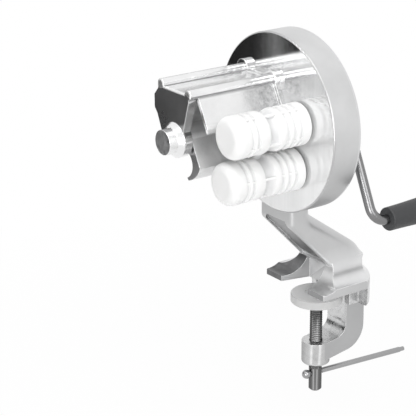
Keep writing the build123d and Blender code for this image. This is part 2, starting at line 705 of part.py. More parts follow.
def hood():
    """The open casting over the cutter: skin, flange, ridges, bearing arm and boss."""
    body = slab_y(hood_skin(0), ARM_BACK_Y, DRUM_FACE_Y)
    flange_y = DRUM_FACE_Y - FLANGE_THICKNESS
    body += slab_y(hood_skin(FLANGE_MARGIN) + ridges(RIDGE_FLANGE_RADIUS), flange_y, DRUM_FACE_Y)
    body += slab_y(ridges(RIDGE_RADIUS), ARM_FRONT_Y, DRUM_FACE_Y)
    body += arm_plate() + arm_boss()
    screw_end = DRUM_FACE_Y - HOOD_SCREW_LENGTH - SCREW_TIP_GAP
    for centre in ridge_centres():
        body -= rod_y(SCREW_RADIUS + SEAT_FIT, screw_end, DRUM_FACE_Y, centre)
    body -= rod_y(CUTTER_TAIL_BUSH_RADIUS + SEAT_FIT, TAIL_BUSH_START, ARM_BACK_Y, CUTTER)
    body -= rod_y(ROLLER_RADIUS + ROLLER_CLEARANCE, ARM_BACK_Y, DRUM_FACE_Y, UPPER)
    return body - oil_hole((ARM_FRONT_Y - ARM_BOSS_FLARE + TAIL_BUSH_START) / 2)


def oil_hole(y):
    """The hole on top of the boss that reaches the bush."""
    return Pos(CUTTER[0], y, CUTTER[1] + CUTTER_TAIL_BUSH_RADIUS) * Cylinder(
        OIL_HOLE_RADIUS, ARM_BOSS_RADIUS, align=(Align.CENTER, Align.CENTER, Align.MIN)
    )


# ---- back cover and screws ----
def back_cover():
    """The plate that closes the drum, with a boss for the crank shaft's bush."""
    body = rod_y(DRUM_RADIUS, COVER_Y, COVER_BACK_Y, DRUM_CENTRE)
    body = fillet(body.edges().group_by(Axis.Y)[-1], COVER_THICKNESS / 2)
    body += rod_y(COVER_BOSS_RADIUS, COVER_Y - COVER_BOSS_DEPTH, COVER_Y, UPPER)
    body -= rod_y(JOURNAL_BUSH_RADIUS + SEAT_FIT, COVER_Y - COVER_BOSS_DEPTH, COVER_BACK_Y, UPPER)
    for centre in screw_places():
        body -= rod_y(SCREW_RADIUS + SEAT_FIT, COVER_Y, COVER_BACK_Y, centre)
    return body


def pan_screw(length, seat_y, centre):
    """A pan-head screw with a cross slot, its head behind the face at seat_y."""
    head = rod_y(SCREW_HEAD_RADIUS, seat_y, seat_y + SCREW_HEAD_HEIGHT, centre)
    head = fillet(head.edges().group_by(Axis.Y)[-1], SCREW_HEAD_HEIGHT / 2)
    for angle in (45, -45):
        slot = Box(SCREW_HEAD_RADIUS, SCREW_HEAD_HEIGHT, SCREW_SLOT_WIDTH)
        head -= Pos(centre[0], seat_y + SCREW_HEAD_HEIGHT, centre[1]) * Rot(0, angle, 0) * slot
    return head + rod_y(SCREW_RADIUS, seat_y - length, seat_y, centre)


def cover_screws():
    """The screws that hold the back cover on the drum."""
    length = COVER_SCREW_LENGTH + COVER_THICKNESS
    return Compound(children=[pan_screw(length, COVER_BACK_Y, centre) for centre in screw_places()])


def hood_screws():
    """The screws that hold the hood on the drum, put in from inside it."""
    length = HOOD_SCREW_LENGTH + FACE_WALL
    seat_y = DRUM_FACE_Y + FACE_WALL
    return Compound(children=[pan_screw(length, seat_y, centre) for centre in ridge_centres()])


# ---- bushes, clips and pins ----
def front_bush(centre):
    """The flanged bush in the drum's front wall."""
    end = DRUM_FACE_Y + BUSH_BOSS_DEPTH
    body = rod_y(BUSH_RADIUS, DRUM_FACE_Y, end, centre)
    body += rod_y(BUSH_FLANGE_RADIUS, end, end + BUSH_FLANGE, centre)
    return body - rod_y(SHAFT_RADIUS + RUNNING_FIT, DRUM_FACE_Y, end + BUSH_FLANGE, centre)


def upper_rear_bush():
    """The flanged bush in the back cover, which carries the crank shaft's journal."""
    start = COVER_Y - COVER_BOSS_DEPTH
    body = rod_y(JOURNAL_BUSH_RADIUS, start, COVER_BACK_Y, UPPER)
    body += rod_y(BUSH_FLANGE_RADIUS, COVER_BACK_Y, COVER_BACK_Y + BUSH_FLANGE, UPPER)
    return body - rod_y(JOURNAL_RADIUS + RUNNING_FIT, start, COVER_BACK_Y + BUSH_FLANGE, UPPER)


def cutter_front_bush():
    """The plain bush in the arm's boss."""
    body = rod_y(CUTTER_TAIL_BUSH_RADIUS, TAIL_BUSH_START, ARM_BACK_Y, CUTTER)
    return body - rod_y(SHAFT_RADIUS + RUNNING_FIT, TAIL_BUSH_START, ARM_BACK_Y, CUTTER)


def cross_pin(y, centre, radius, length):
    """A pin along Z through a shaft."""
    return Pos(centre[0], y, centre[1]) * Cylinder(radius, length)


def retaining_clip(groove_y, centre):
    """An open ring in a shaft's groove."""
    ring = Circle(CLIP_RADIUS) - Circle(SHAFT_RADIUS - CLIP_GROOVE_DEPTH + SEAT_FIT)
    ring -= Pos(0, -CLIP_RADIUS) * Rectangle(CLIP_GAP, 2 * CLIP_RADIUS)
    return slab_y(Pos(*centre) * ring, groove_y, groove_y + CLIP_THICKNESS)


# ---- shafts ----
def flat_cut(y0, y1, radius, flat, angle, centre):
    """What is milled off a shaft to leave one driving flat."""
    waste = Circle(radius + CUT_OVERRUN) - d_section(radius + 2 * CUT_OVERRUN, flat, angle)
    return slab_y(Pos(*centre) * waste, y0, y1)


def clip_groove(y, centre):
    """What is turned off a shaft for its retaining clip."""
    ring = Circle(SHAFT_RADIUS + CUT_OVERRUN) - Circle(SHAFT_RADIUS - CLIP_GROOVE_DEPTH)
    return slab_y(Pos(*centre) * ring, y, y + CLIP_THICKNESS + SEAT_FIT)


def clipped_shaft(start, flat_start, groove_y, pin_y, centre):
    """A shaft with a cross pin at one end and a gear held by a clip at the other."""
    end = groove_y + CLIP_THICKNESS + SHAFT_LIP
    body = rod_y(SHAFT_RADIUS, start, end, centre)
    body -= flat_cut(flat_start, end, SHAFT_RADIUS, SHAFT_FLAT, 90, centre)
    body -= clip_groove(groove_y, centre)
    return body - cross_pin(pin_y, centre, PIN_RADIUS + SEAT_FIT, 3 * SHAFT_RADIUS)


def lower_roller_shaft():
    """The shaft of the lower roller."""
    return clipped_shaft(SHAFT_START_Y, ROLLER_GEAR_START, ROLLER_GEAR_END, ROLLER_PIN_Y, LOWER)


def cutter_shaft():
    """The cutter's shaft, from the bush in the arm to the pinion."""
    start = TAIL_BUSH_START + FREE_GAP
    return clipped_shaft(start, ROLLER_GEAR_START, DRIVE_GEAR_END, CUTTER_PIN_Y, CUTTER)


def crank_shaft():
    """The shaft of the upper roller, stepped down behind its gears to take the crank's hub."""
    end = HUB_END_Y - HUB_END_WALL
    body = rod_y(SHAFT_RADIUS, SHAFT_START_Y, DRIVE_GEAR_END, UPPER)
    body += rod_y(JOURNAL_RADIUS, DRIVE_GEAR_END, end, UPPER)
    body -= flat_cut(ROLLER_GEAR_START, DRIVE_GEAR_END, SHAFT_RADIUS, SHAFT_FLAT, 90, UPPER)
    body -= flat_cut(HUB_START_Y, end, JOURNAL_RADIUS, JOURNAL_FLAT, CRANK_ANGLE + 180, UPPER)
    return body - cross_pin(ROLLER_PIN_Y, UPPER, PIN_RADIUS + SEAT_FIT, 3 * SHAFT_RADIUS)


# ---- plastic rollers ----
def roller_blank(centre):
    """The turned roller: cap, grooves and rings with a hollow valley between them, and a flange."""
    shoulder = ROLLER_RADIUS - BAND_SHOULDER
    cap_edge = (ROLLER_RADIUS, CAP_LENGTH - CAP_EASE)
    profile = [*Polyline((0, 0), (ROLLER_RADIUS, 0), cap_edge, (shoulder, CAP_LENGTH)).edges()]
    start = CAP_LENGTH
    for length, depth in BANDS:
        end = start + length
        middle = (ROLLER_RADIUS - depth, (start + end) / 2)
        profile.append(ThreePointArc((shoulder, start), middle, (shoulder, end)))
        start = end
    flange = Polyline(
        (shoulder, start),
        (ROLLER_RADIUS, start + CAP_EASE),
        (ROLLER_RADIUS, ROLLER_LENGTH),
        (0, ROLLER_LENGTH),
        (0, 0),
    )
    placed = Location((centre[0], ROLLER_BACK_Y - ROLLER_LENGTH, centre[1]))
    face = placed * make_face([*profile, *flange.edges()])
    return revolve(face, Axis((centre[0], 0, centre[1]), (0, 1, 0)))


def roller(centre, rib_angle):
    """A roller with its axial ribs, its blind socket and the slot for its drive pin."""
    body = roller_blank(centre)
    body = fillet(body.edges().group_by(Axis.Y)[0], ROLLER_END_FILLET)
    rib_start = ROLLER_BACK_Y - ROLLER_LENGTH + CAP_LENGTH
    rib_end = rib_start + sum(length for length, depth in BANDS)
    rib = Pos((ROLLER_RADIUS - RIB_SINK) / 2, 0) * Rectangle(ROLLER_RADIUS - RIB_SINK, RIB_WIDTH)
    for index in range(RIB_COUNT):
        turned = Rot(0, 0, rib_angle + index * 360.0 / RIB_COUNT) * rib
        body += slab_y(Pos(*centre) * turned, rib_start, rib_end)
    body -= rod_y(SHAFT_RADIUS + SEAT_FIT, SHAFT_START_Y, ROLLER_BACK_Y, centre)
    slot = Pos(*centre) * Rectangle(2 * (PIN_RADIUS + SEAT_FIT), PIN_LENGTH + 2 * FREE_GAP)
    return body - slab_y(slot, ROLLER_PIN_Y - PIN_RADIUS - SEAT_FIT, ROLLER_BACK_Y)


# ---- cutter rotor ----
def blade_outline():
    """One hooked blade, drawn from the cutter's axis."""
    root = polar(ROTOR_HUB_RADIUS - FREE_GAP, BLADE_ROOT_ANGLE)
    heel = polar(ROTOR_HUB_RADIUS, BLADE_HEEL_ANGLE)
    shoulder = polar(BLADE_SHOULDER_RADIUS, BLADE_SHOULDER_ANGLE)
    crest = polar(BLADE_CREST_RADIUS, BLADE_HOLLOW_ANGLE)
    tip = polar(ROTOR_RADIUS, BLADE_TIP_ANGLE)
    lip = polar(BLADE_LIP_RADIUS, BLADE_LIP_ANGLE)
    hollow = polar(BLADE_HOLLOW_RADIUS, BLADE_HOLLOW_ANGLE)
    edges = [
        Line(root, shoulder),
        ThreePointArc(shoulder, crest, tip),
        Line(tip, lip),
        ThreePointArc(lip, hollow, heel),
        Line(heel, (0, 0)),
        Line((0, 0), root),
    ]
    return make_face(edges)


def cutter_rotor():
    """The cutter: a hub with hooked blades of one section all along."""
    section = Circle(ROTOR_HUB_RADIUS)
    for index in range(BLADE_COUNT):
        section += Rot(0, 0, index * 360.0 / BLADE_COUNT) * blade_outline()
    section -= Circle(SHAFT_RADIUS + SEAT_FIT)
    end = DRUM_FACE_Y - ROTOR_GAP
    body = slab_y(Pos(*CUTTER) * section, end - ROTOR_LENGTH, end)
    return body - cross_pin(CUTTER_PIN_Y, CUTTER, PIN_RADIUS + SEAT_FIT, 3 * ROTOR_HUB_RADIUS)


# ---- crank ----
def along_crank(distance):
    """A point (x, y, z) on the crank's arm, a distance out from its shaft."""
    x, z = moved(polar(distance, CRANK_ANGLE), UPPER)
    return Vector(x, ARM_PLANE_Y, z)


def crank_hub():
    """The hub on the crank shaft's end, bored across for the rod and for the set screw."""
    body = rod_y(HUB_RADIUS, HUB_START_Y, HUB_END_Y, UPPER)
    body = chamfer(body.edges(), HUB_EDGE)
    section = d_section(JOURNAL_RADIUS + SEAT_FIT, JOURNAL_FLAT + SEAT_FIT, CRANK_ANGLE + 180)
    body -= slab_y(Pos(*UPPER) * section, HUB_START_Y, HUB_END_Y - HUB_END_WALL)
    body -= crank_spoke(CRANK_ROD_RADIUS + SEAT_FIT, ROD_SOCKET_START, 2 * HUB_RADIUS)
    return body - crank_spoke(SET_SCREW_RADIUS + SEAT_FIT, -2 * HUB_RADIUS, 0)


def crank_spoke(radius, start, end):
    """A straight rod along the crank's arm."""
    axis = along_crank(end) - along_crank(start)
    return extrude(Plane(origin=along_crank(start), z_dir=axis) * Circle(radius), amount=axis.length)


def crank_spacer():
    """The sleeve that keeps the hub clear of the back cover's bush."""
    start = COVER_BACK_Y + BUSH_FLANGE + FREE_GAP
    body = rod_y(SPACER_RADIUS, start, HUB_START_Y, UPPER)
    return body - rod_y(JOURNAL_RADIUS + SEAT_FIT, start, HUB_START_Y, UPPER)


def hub_set_screw():
    """The set screw that bears on the shaft's flat."""
    start = JOURNAL_FLAT + SEAT_FIT
    body = crank_spoke(SET_SCREW_RADIUS, -HUB_RADIUS + SET_SCREW_SINK, -start)
    return body - crank_spoke(SET_SCREW_SOCKET_RADIUS, -HUB_RADIUS, -HUB_RADIUS + SET_SCREW_SOCKET_DEPTH)


def crank_arm():
    """The bent rod from the hub out to the grip's axis and along it."""
    arm_end = along_crank(CRANK_LENGTH - CRANK_BEND_RADIUS)
    corner = along_crank(CRANK_LENGTH)
    bend_end = corner + Vector(0, CRANK_BEND_RADIUS, 0)
    rod_end = Vector(corner.X, GRIP_Y + GRIP_LENGTH, corner.Z)
    start = along_crank(ROD_SOCKET_START)
    outward = (arm_end - start).normalized()
    path = Wire([
        Line(start, arm_end),
        TangentArc(arm_end, bend_end, tangent=outward),
        Line(bend_end, rod_end),
    ])
    body = sweep(Plane(origin=start, z_dir=outward) * Circle(CRANK_ROD_RADIUS), path=path)
    bore_start = rod_end.Y - CAP_STEM_LENGTH - SCREW_TIP_GAP
    return body - rod_y(CAP_STEM_RADIUS + SEAT_FIT, bore_start, rod_end.Y, GRIP_AXIS)


def crank_grip():
    """The turned grip that spins on the crank's rod."""
    end = GRIP_LENGTH - GRIP_END_GAP
    outline = Spline(
        (GRIP_END_RADIUS, 0),
        (GRIP_SHOULDER_RADIUS, GRIP_SHOULDER_AT),
        (GRIP_BELLY_RADIUS, GRIP_BELLY_AT),
        (GRIP_TAIL_RADIUS, end),
    )
    rest = Polyline((GRIP_TAIL_RADIUS, end), (0, end), (0, 0), (GRIP_END_RADIUS, 0))
    face = make_face([outline, *rest.edges()])
    placed = Location((GRIP_AXIS[0], GRIP_Y, GRIP_AXIS[1])) * face
    body = revolve(placed, Axis((GRIP_AXIS[0], 0, GRIP_AXIS[1]), (0, 1, 0)))
    body = fillet(body.edges().filter_by(GeomType.CIRCLE), GRIP_EDGE)
    return body - rod_y(CRANK_ROD_RADIUS + RUNNING_FIT, GRIP_Y, GRIP_Y + GRIP_LENGTH, GRIP_AXIS)


def grip_cap():
    """The cap screwed into the rod's end, which keeps the grip on."""
    start = GRIP_Y + GRIP_LENGTH
    head = rod_y(CAP_RADIUS, start, start + CAP_THICKNESS, GRIP_AXIS)
    head = fillet(head.edges().group_by(Axis.Y)[-1], CAP_THICKNESS / 2)
    return head + rod_y(CAP_STEM_RADIUS, start - CAP_STEM_LENGTH, start, GRIP_AXIS)


# ---- clamp screw, pad and tommy bar ----
def tommy_rod(radius, start, end):
    """A round length of the tommy bar, measured out from the clamp screw's axis."""
    along = Vector(*polar(1, TOMMY_ANGLE), 0)
    origin = Vector(0, 0, TOMMY_Z) + along * start
    return extrude(Plane(origin=origin, z_dir=along) * Circle(radius), amount=end - start)


def clamp_screw():
    """The clamp screw: a rod of the thread's outer size with a pivot that carries the pad."""
    shoulder = PAD_TOP_Z - PAD_THICKNESS - PAD_FACE_GAP
    body = rod_z(THREAD_RADIUS, SCREW_END_Z, shoulder)
    body = chamfer(body.edges().group_by(Axis.Z)[0], SCREW_END_CHAMFER)
    body += rod_z(PIVOT_RADIUS, shoulder, shoulder + PIVOT_LENGTH)
    return body - tommy_rod(TOMMY_NECK_RADIUS + SEAT_FIT, -2 * THREAD_RADIUS, 2 * THREAD_RADIUS)


def tommy_bar():
    """The bar through the clamp screw's end, with a ball at its short end."""
    ball_x, ball_y = polar(-TOMMY_BALL_DISTANCE, TOMMY_ANGLE)
    body = tommy_rod(TOMMY_NECK_RADIUS, -TOMMY_BALL_DISTANCE, TOMMY_SHOULDER)
    body += Pos(ball_x, ball_y, TOMMY_Z) * Sphere(TOMMY_BALL_RADIUS)
    body += tommy_rod(TOMMY_RADIUS, TOMMY_SHOULDER, TOMMY_REACH - TOMMY_TIP_LENGTH)
    return body + tommy_rod(TOMMY_TIP_RADIUS, TOMMY_REACH - TOMMY_TIP_LENGTH, TOMMY_REACH)


def clamp_pad():
    """The round pad on the screw's pivot, with a shallow dish in its face."""
    bottom = PAD_TOP_Z - PAD_THICKNESS
    body = rod_z(PAD_RADIUS, bottom, PAD_TOP_Z)
    body = fillet(body.edges(), PAD_EDGE)
    body -= rod_z(PAD_DISH_RADIUS, PAD_TOP_Z - PAD_DISH_DEPTH, PAD_TOP_Z)
    return body - rod_z(PIVOT_RADIUS + RUNNING_FIT, bottom, bottom + PIVOT_LENGTH)


# ---- parts ----
os.makedirs("parts", exist_ok=True)
export("housing", housing())
export("back_cover", back_cover())
export("cover_screws", cover_screws())
export("hood", hood())
export("hood_screws", hood_screws())
export("upper_front_bush", front_bush(UPPER))
export("lower_front_bush", front_bush(LOWER))
export("cutter_rear_bush", front_bush(CUTTER))
export("upper_rear_bush", upper_rear_bush())
export("cutter_front_bush", cutter_front_bush())
export("crank_shaft", crank_shaft())
export("upper_roller", roller(UPPER, UPPER_RIB_ANGLE))
export("upper_roller_pin", cross_pin(ROLLER_PIN_Y, UPPER, PIN_RADIUS, PIN_LENGTH))
export("upper_roller_gear", upper_roller_gear())
export("drive_gear", drive_gear())
export("lower_roller_shaft", lower_roller_shaft())
export("lower_roller", roller(LOWER, LOWER_RIB_ANGLE))
export("lower_roller_pin", cross_pin(ROLLER_PIN_Y, LOWER, PIN_RADIUS, PIN_LENGTH))
export("lower_roller_gear", lower_roller_gear())
export("lower_shaft_clip", retaining_clip(ROLLER_GEAR_END, LOWER))
export("cutter_shaft", cutter_shaft())
export("cutter_rotor", cutter_rotor())
export("cutter_pin", cross_pin(CUTTER_PIN_Y, CUTTER, PIN_RADIUS, PIN_LENGTH))
export("cutter_pinion", cutter_pinion())
export("cutter_shaft_clip", retaining_clip(DRIVE_GEAR_END, CUTTER))
export("crank_hub", crank_hub())
export("crank_spacer", crank_spacer())
export("hub_set_screw", hub_set_screw())
export("crank_arm", crank_arm())
export("crank_grip", crank_grip())
export("grip_cap", grip_cap())
export("clamp_screw", clamp_screw())
export("tommy_bar", tommy_bar())
export("clamp_pad", clamp_pad())
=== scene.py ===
"""Looks of the clamp-on cavatelli maker: finishes, cut thread, soft edges, studio and camera."""
import json
import math

import bmesh
import bpy
from mathutils import Matrix, Vector


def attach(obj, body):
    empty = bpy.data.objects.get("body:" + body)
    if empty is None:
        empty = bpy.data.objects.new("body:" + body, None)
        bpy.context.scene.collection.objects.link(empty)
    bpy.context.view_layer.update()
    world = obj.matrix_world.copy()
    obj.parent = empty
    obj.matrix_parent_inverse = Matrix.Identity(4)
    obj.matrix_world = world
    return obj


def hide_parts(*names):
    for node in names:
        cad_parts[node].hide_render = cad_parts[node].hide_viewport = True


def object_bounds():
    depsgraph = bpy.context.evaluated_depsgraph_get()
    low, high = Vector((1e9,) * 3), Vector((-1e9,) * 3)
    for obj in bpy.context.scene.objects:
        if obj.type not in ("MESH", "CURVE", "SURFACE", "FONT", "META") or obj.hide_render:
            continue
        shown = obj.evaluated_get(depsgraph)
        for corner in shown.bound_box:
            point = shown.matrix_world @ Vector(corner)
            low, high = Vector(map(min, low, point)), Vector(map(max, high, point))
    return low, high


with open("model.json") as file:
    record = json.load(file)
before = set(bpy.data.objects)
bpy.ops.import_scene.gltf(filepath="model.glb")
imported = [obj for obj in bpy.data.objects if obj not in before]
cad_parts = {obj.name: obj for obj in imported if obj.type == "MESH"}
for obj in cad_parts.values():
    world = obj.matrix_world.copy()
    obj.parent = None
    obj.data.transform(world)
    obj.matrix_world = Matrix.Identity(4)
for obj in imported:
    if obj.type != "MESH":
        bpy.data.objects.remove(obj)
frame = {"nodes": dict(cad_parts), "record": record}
size_at_start = [list(corner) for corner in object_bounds()]
NODES = frame["nodes"]
BODY_OF = {}
for body, nodes in frame["record"]["behaviour"]["bodies"].items():
    for node in nodes:
        BODY_OF[node] = body
SLOT_OF = {part["node"]: part["material_slot"] for part in frame["record"]["subparts"]}

MM = 0.001
UPPER_AXIS = Vector((28.5, 0, 137.3)) * MM
LOWER_AXIS = Vector((22.954, 0, 103.249)) * MM
ROLLER_RADIUS = 15.2 * MM
RIDGE_AXES = (Vector((-32.784, 0, 164.532)) * MM, Vector((-0.584, 0, 163.032)) * MM)


# ---------------------------------------------------------------- shader helpers
def group(name, inputs, outputs):
    """An empty shader node group with named number inputs and named outputs."""
    tree = bpy.data.node_groups.new(name, "ShaderNodeTree")
    tree.interface.new_socket("Vector", in_out="INPUT", socket_type="NodeSocketVector")
    for title, value in inputs.items():
        socket = tree.interface.new_socket(title, in_out="INPUT", socket_type="NodeSocketFloat")
        socket.default_value = value
    for title in outputs:
        tree.interface.new_socket(title, in_out="OUTPUT", socket_type="NodeSocketFloat")
    start = tree.nodes.new("NodeGroupInput")
    end = tree.nodes.new("NodeGroupOutput")
    return tree, start, end


def math_node(tree, operation, first, second=None, clamp=False):
    """A math node on sockets or plain numbers; gives its output socket."""
    node = tree.nodes.new("ShaderNodeMath")
    node.operation = operation
    node.use_clamp = clamp
    for place, value in enumerate((first, second)):
        if value is None:
            continue
        if isinstance(value, (int, float)):
            node.inputs[place].default_value = value
        else:
            tree.links.new(value, node.inputs[place])
    return node.outputs[0]


def noise(tree, vector, scale, detail=4.0, roughness=0.55):
    """A noise pattern; gives its value socket."""
    node = tree.nodes.new("ShaderNodeTexNoise")
    node.inputs["Detail"].default_value = detail
    node.inputs["Roughness"].default_value = roughness
    tree.links.new(vector, node.inputs["Vector"])
    if isinstance(scale, (int, float)):
        node.inputs["Scale"].default_value = scale
    else:
        tree.links.new(scale, node.inputs["Scale"])
    return node.outputs["Fac"]


def stretched(tree, vector, factors):
    """The vector with each of its coordinates multiplied by its own factor."""
    node = tree.nodes.new("ShaderNodeVectorMath")
    node.operation = "MULTIPLY"
    node.inputs[1].default_value = factors
    tree.links.new(vector, node.inputs[0])
    return node.outputs[0]


def split_vector(tree, vector):
    """The X, Y and Z outputs of a vector."""
    node = tree.nodes.new("ShaderNodeSeparateXYZ")
    tree.links.new(vector, node.inputs[0])
    return node.outputs


def axis_distance(tree, place, axis):
    """A point's distance from an axis along Y, given by a group's inputs Axis X and Axis Z."""
    across = math_node(tree, "SUBTRACT", place["X"], axis["Axis X"])
    above = math_node(tree, "SUBTRACT", place["Z"], axis["Axis Z"])
    square = math_node(tree, "ADD", math_node(tree, "MULTIPLY", across, across),
                       math_node(tree, "MULTIPLY", above, above))
    return math_node(tree, "SQRT", square)


def use_group(tree, key, vector, values=None):
    """Puts one of the shared groups into a material, with its numbers set; gives its outputs."""
    node = tree.nodes.new("ShaderNodeGroup")
    node.node_tree = GROUPS[key]
    if vector:
        tree.links.new(vector, node.inputs["Vector"])
    for title, value in (values or {}).items():
        node.inputs[title].default_value = value
    return node.outputs


def colour_mix(tree, share, first, second):
    """Goes from the first colour to the second as the share goes from 0 to 1."""
    node = tree.nodes.new("ShaderNodeMix")
    node.data_type = "RGBA"
    tree.links.new(share, node.inputs[0])
    for place, colour in ((6, first), (7, second)):
        if isinstance(colour, tuple):
            node.inputs[place].default_value = (*colour, 1)
        else:
            tree.links.new(colour, node.inputs[place])
    return node.outputs[2]


def object_place(tree):
    """The Object texture coordinate."""
    return tree.nodes.new("ShaderNodeTexCoord").outputs["Object"]


def brushed_group():
    """Fine parallel scratches along Z with slow bands of tone."""
    tree, start, end = group("Brushed strokes", {"Fineness": 1.0, "Banding": 1.0},
                             ("Height", "Tone"))
    fine = noise(tree, stretched(tree, start.outputs["Vector"], (900, 900, 22)),
                 start.outputs["Fineness"], 3.0)
    bands = noise(tree, stretched(tree, start.outputs["Vector"], (70, 70, 9)), 1.0, 2.0)
    banding = math_node(tree, "MULTIPLY", math_node(tree, "SUBTRACT", bands, 0.5),
                        start.outputs["Banding"])
    tone = math_node(tree, "ADD", math_node(tree, "MULTIPLY", fine, 0.5), banding)
    tree.links.new(fine, end.inputs["Height"])
    tree.links.new(tone, end.inputs["Tone"])
    return tree


def cast_group():
    """The skin of a tumbled casting: a fine grain and soft clouds of tone."""
    tree, start, end = group("Cast skin", {"Grain": 900.0, "Cloud": 45.0}, ("Height", "Tone"))
    grain = noise(tree, start.outputs["Vector"], start.outputs["Grain"], 2.0)
    cloud = noise(tree, start.outputs["Vector"], start.outputs["Cloud"], 4.0, 0.6)
    height = math_node(tree, "ADD", grain, math_node(tree, "MULTIPLY", cloud, 1.5))
    tree.links.new(height, end.inputs["Height"])
    tree.links.new(cloud, end.inputs["Tone"])
    return tree


def edge_group():
    """Round edges for the shading, and a mask of the edges where a highlight is painted."""
    tree = bpy.data.node_groups.new("Painted edge highlights", "ShaderNodeTree")
    radius = tree.interface.new_socket("Radius", in_out="INPUT", socket_type="NodeSocketFloat")
    radius.default_value = 0.7 * MM
    tree.interface.new_socket("Mask", in_out="OUTPUT", socket_type="NodeSocketFloat")
    tree.interface.new_socket("Normal", in_out="OUTPUT", socket_type="NodeSocketVector")
    start = tree.nodes.new("NodeGroupInput")
    end = tree.nodes.new("NodeGroupOutput")
    rounded = tree.nodes.new("ShaderNodeBevel")
    rounded.samples = 6
    tree.links.new(start.outputs["Radius"], rounded.inputs["Radius"])
    surface = tree.nodes.new("ShaderNodeNewGeometry")
    compare = tree.nodes.new("ShaderNodeVectorMath")
    compare.operation = "DOT_PRODUCT"
    tree.links.new(rounded.outputs["Normal"], compare.inputs[0])
    tree.links.new(surface.outputs["Normal"], compare.inputs[1])
    lean = math_node(tree, "SUBTRACT", 1.0, compare.outputs["Value"])
    past_flat = math_node(tree, "SUBTRACT", lean, 0.02)
    mask = math_node(tree, "MULTIPLY", past_flat, 6.0, True)
    tree.links.new(mask, end.inputs["Mask"])
    tree.links.new(rounded.outputs["Normal"], end.inputs["Normal"])
    return tree


def root_group():
    """A mottled mask of painted shade on the last stretch of the hood before the drum."""
    tree, start, end = group("Painted root shade", {"Start": -0.076, "Run": 0.020}, ("Mask",))
    place = split_vector(tree, start.outputs["Vector"])
    along = math_node(tree, "SUBTRACT", place["Y"], start.outputs["Start"])
    along = math_node(tree, "DIVIDE", along, start.outputs["Run"], True)
    mottle = noise(tree, start.outputs["Vector"], 260.0, 5.0, 0.7)
    mottle = math_node(tree, "MULTIPLY", math_node(tree, "SUBTRACT", mottle, 0.40), 3.0, True)
    tree.links.new(math_node(tree, "MULTIPLY", along, mottle), end.inputs["Mask"])
    return tree


def groove_group():
    """How far a point of a turned piece lies below its outer radius, as a mask of painted shade
    behind its cap.
    """
    tree, start, end = group("Grooves", {"Axis X": 0.0, "Axis Z": 0.0, "Radius": 0.015,
                                         "Depth": 0.002, "Cap Y": -0.093}, ("Mask",))
    place = split_vector(tree, start.outputs["Vector"])
    out = axis_distance(tree, place, start.outputs)
    sunk = math_node(tree, "SUBTRACT", start.outputs["Radius"], out)
    mask = math_node(tree, "DIVIDE", sunk, start.outputs["Depth"], True)
    behind = math_node(tree, "GREATER_THAN", place["Y"], start.outputs["Cap Y"])
    tree.links.new(math_node(tree, "MULTIPLY", mask, behind), end.inputs["Mask"])
    return tree


def crease_group():
    """A line of painted shade on both sides of a ridge along Y, just outside its radius."""
    tree, start, end = group("Ridge crease", {"Axis X": 0.0, "Axis Z": 0.0, "Radius": 0.0035,
                                              "Width": 0.0018}, ("Mask",))
    out = axis_distance(tree, split_vector(tree, start.outputs["Vector"]), start.outputs)
    outside = math_node(tree, "SUBTRACT", out, start.outputs["Radius"])
    share = math_node(tree, "DIVIDE", outside, start.outputs["Width"])
    fade = math_node(tree, "SUBTRACT", 1.0, share, True)
    beyond = math_node(tree, "GREATER_THAN", outside, 0.0)
    tree.links.new(math_node(tree, "MULTIPLY", fade, beyond), end.inputs["Mask"])
    return tree


def height_group():
    """A mask that rises from 0 to 1 between two heights."""
    tree, start, end = group("Height fade", {"From": 0.0, "To": 0.1}, ("Mask",))
    place = split_vector(tree, start.outputs["Vector"])
    along = math_node(tree, "SUBTRACT", place["Z"], start.outputs["From"])
    run = math_node(tree, "SUBTRACT", start.outputs["To"], start.outputs["From"])
    tree.links.new(math_node(tree, "DIVIDE", along, run, True), end.inputs["Mask"])
    return tree


GROUPS = {
    "brushed": brushed_group(),
    "cast": cast_group(),
    "edges": edge_group(),
    "root": root_group(),
    "grooves": groove_group(),
    "crease": crease_group(),
    "height": height_group(),
}
# the grey of the shade painted at the hood's root and along its ridge creases
PAINTED_SHADE_GREY = (0.16, 0.16, 0.165)
CREASE_SHADE_SHARE = 0.8
# the near-white of the highlight painted along edges
EDGE_HIGHLIGHT = (0.97, 0.97, 0.97)
RELIEF_DEPTH = 0.2 * MM


def height_factor(tree, place, fade):
    """A factor that goes from 1 to the last number of fade between its two heights, in mm."""
    low, high, factor = fade
    mask = use_group(tree, "height", place, {"From": low * MM, "To": high * MM})["Mask"]
    return math_node(tree, "ADD", math_node(tree, "MULTIPLY", mask, factor - 1), 1.0)


def scaled_colour(tree, colour, factor):
    """A colour multiplied by a factor; the colour is a socket or three numbers."""
    node = tree.nodes.new("ShaderNodeVectorMath")
    node.operation = "SCALE"
    if isinstance(colour, tuple):
        node.inputs[0].default_value = colour
    else:
        tree.links.new(colour, node.inputs[0])
    tree.links.new(factor, node.inputs["Scale"])
    return node.outputs[0]


def shade_root_and_creases(tree, place, colour, root):
    """Paints shade on the hood's colour at its root by the drum and along both sides of its ridges.
    """
    dark = math_node(tree, "MULTIPLY", use_group(tree, "root", place)["Mask"], root)
    for axis in RIDGE_AXES:
        crease = use_group(tree, "crease", place, {"Axis X": axis.x, "Axis Z": axis.z})["Mask"]
        dark = math_node(tree, "MAXIMUM", dark, math_node(tree, "MULTIPLY", crease, CREASE_SHADE_SHARE))
    return colour_mix(tree, dark, colour, PAINTED_SHADE_GREY)


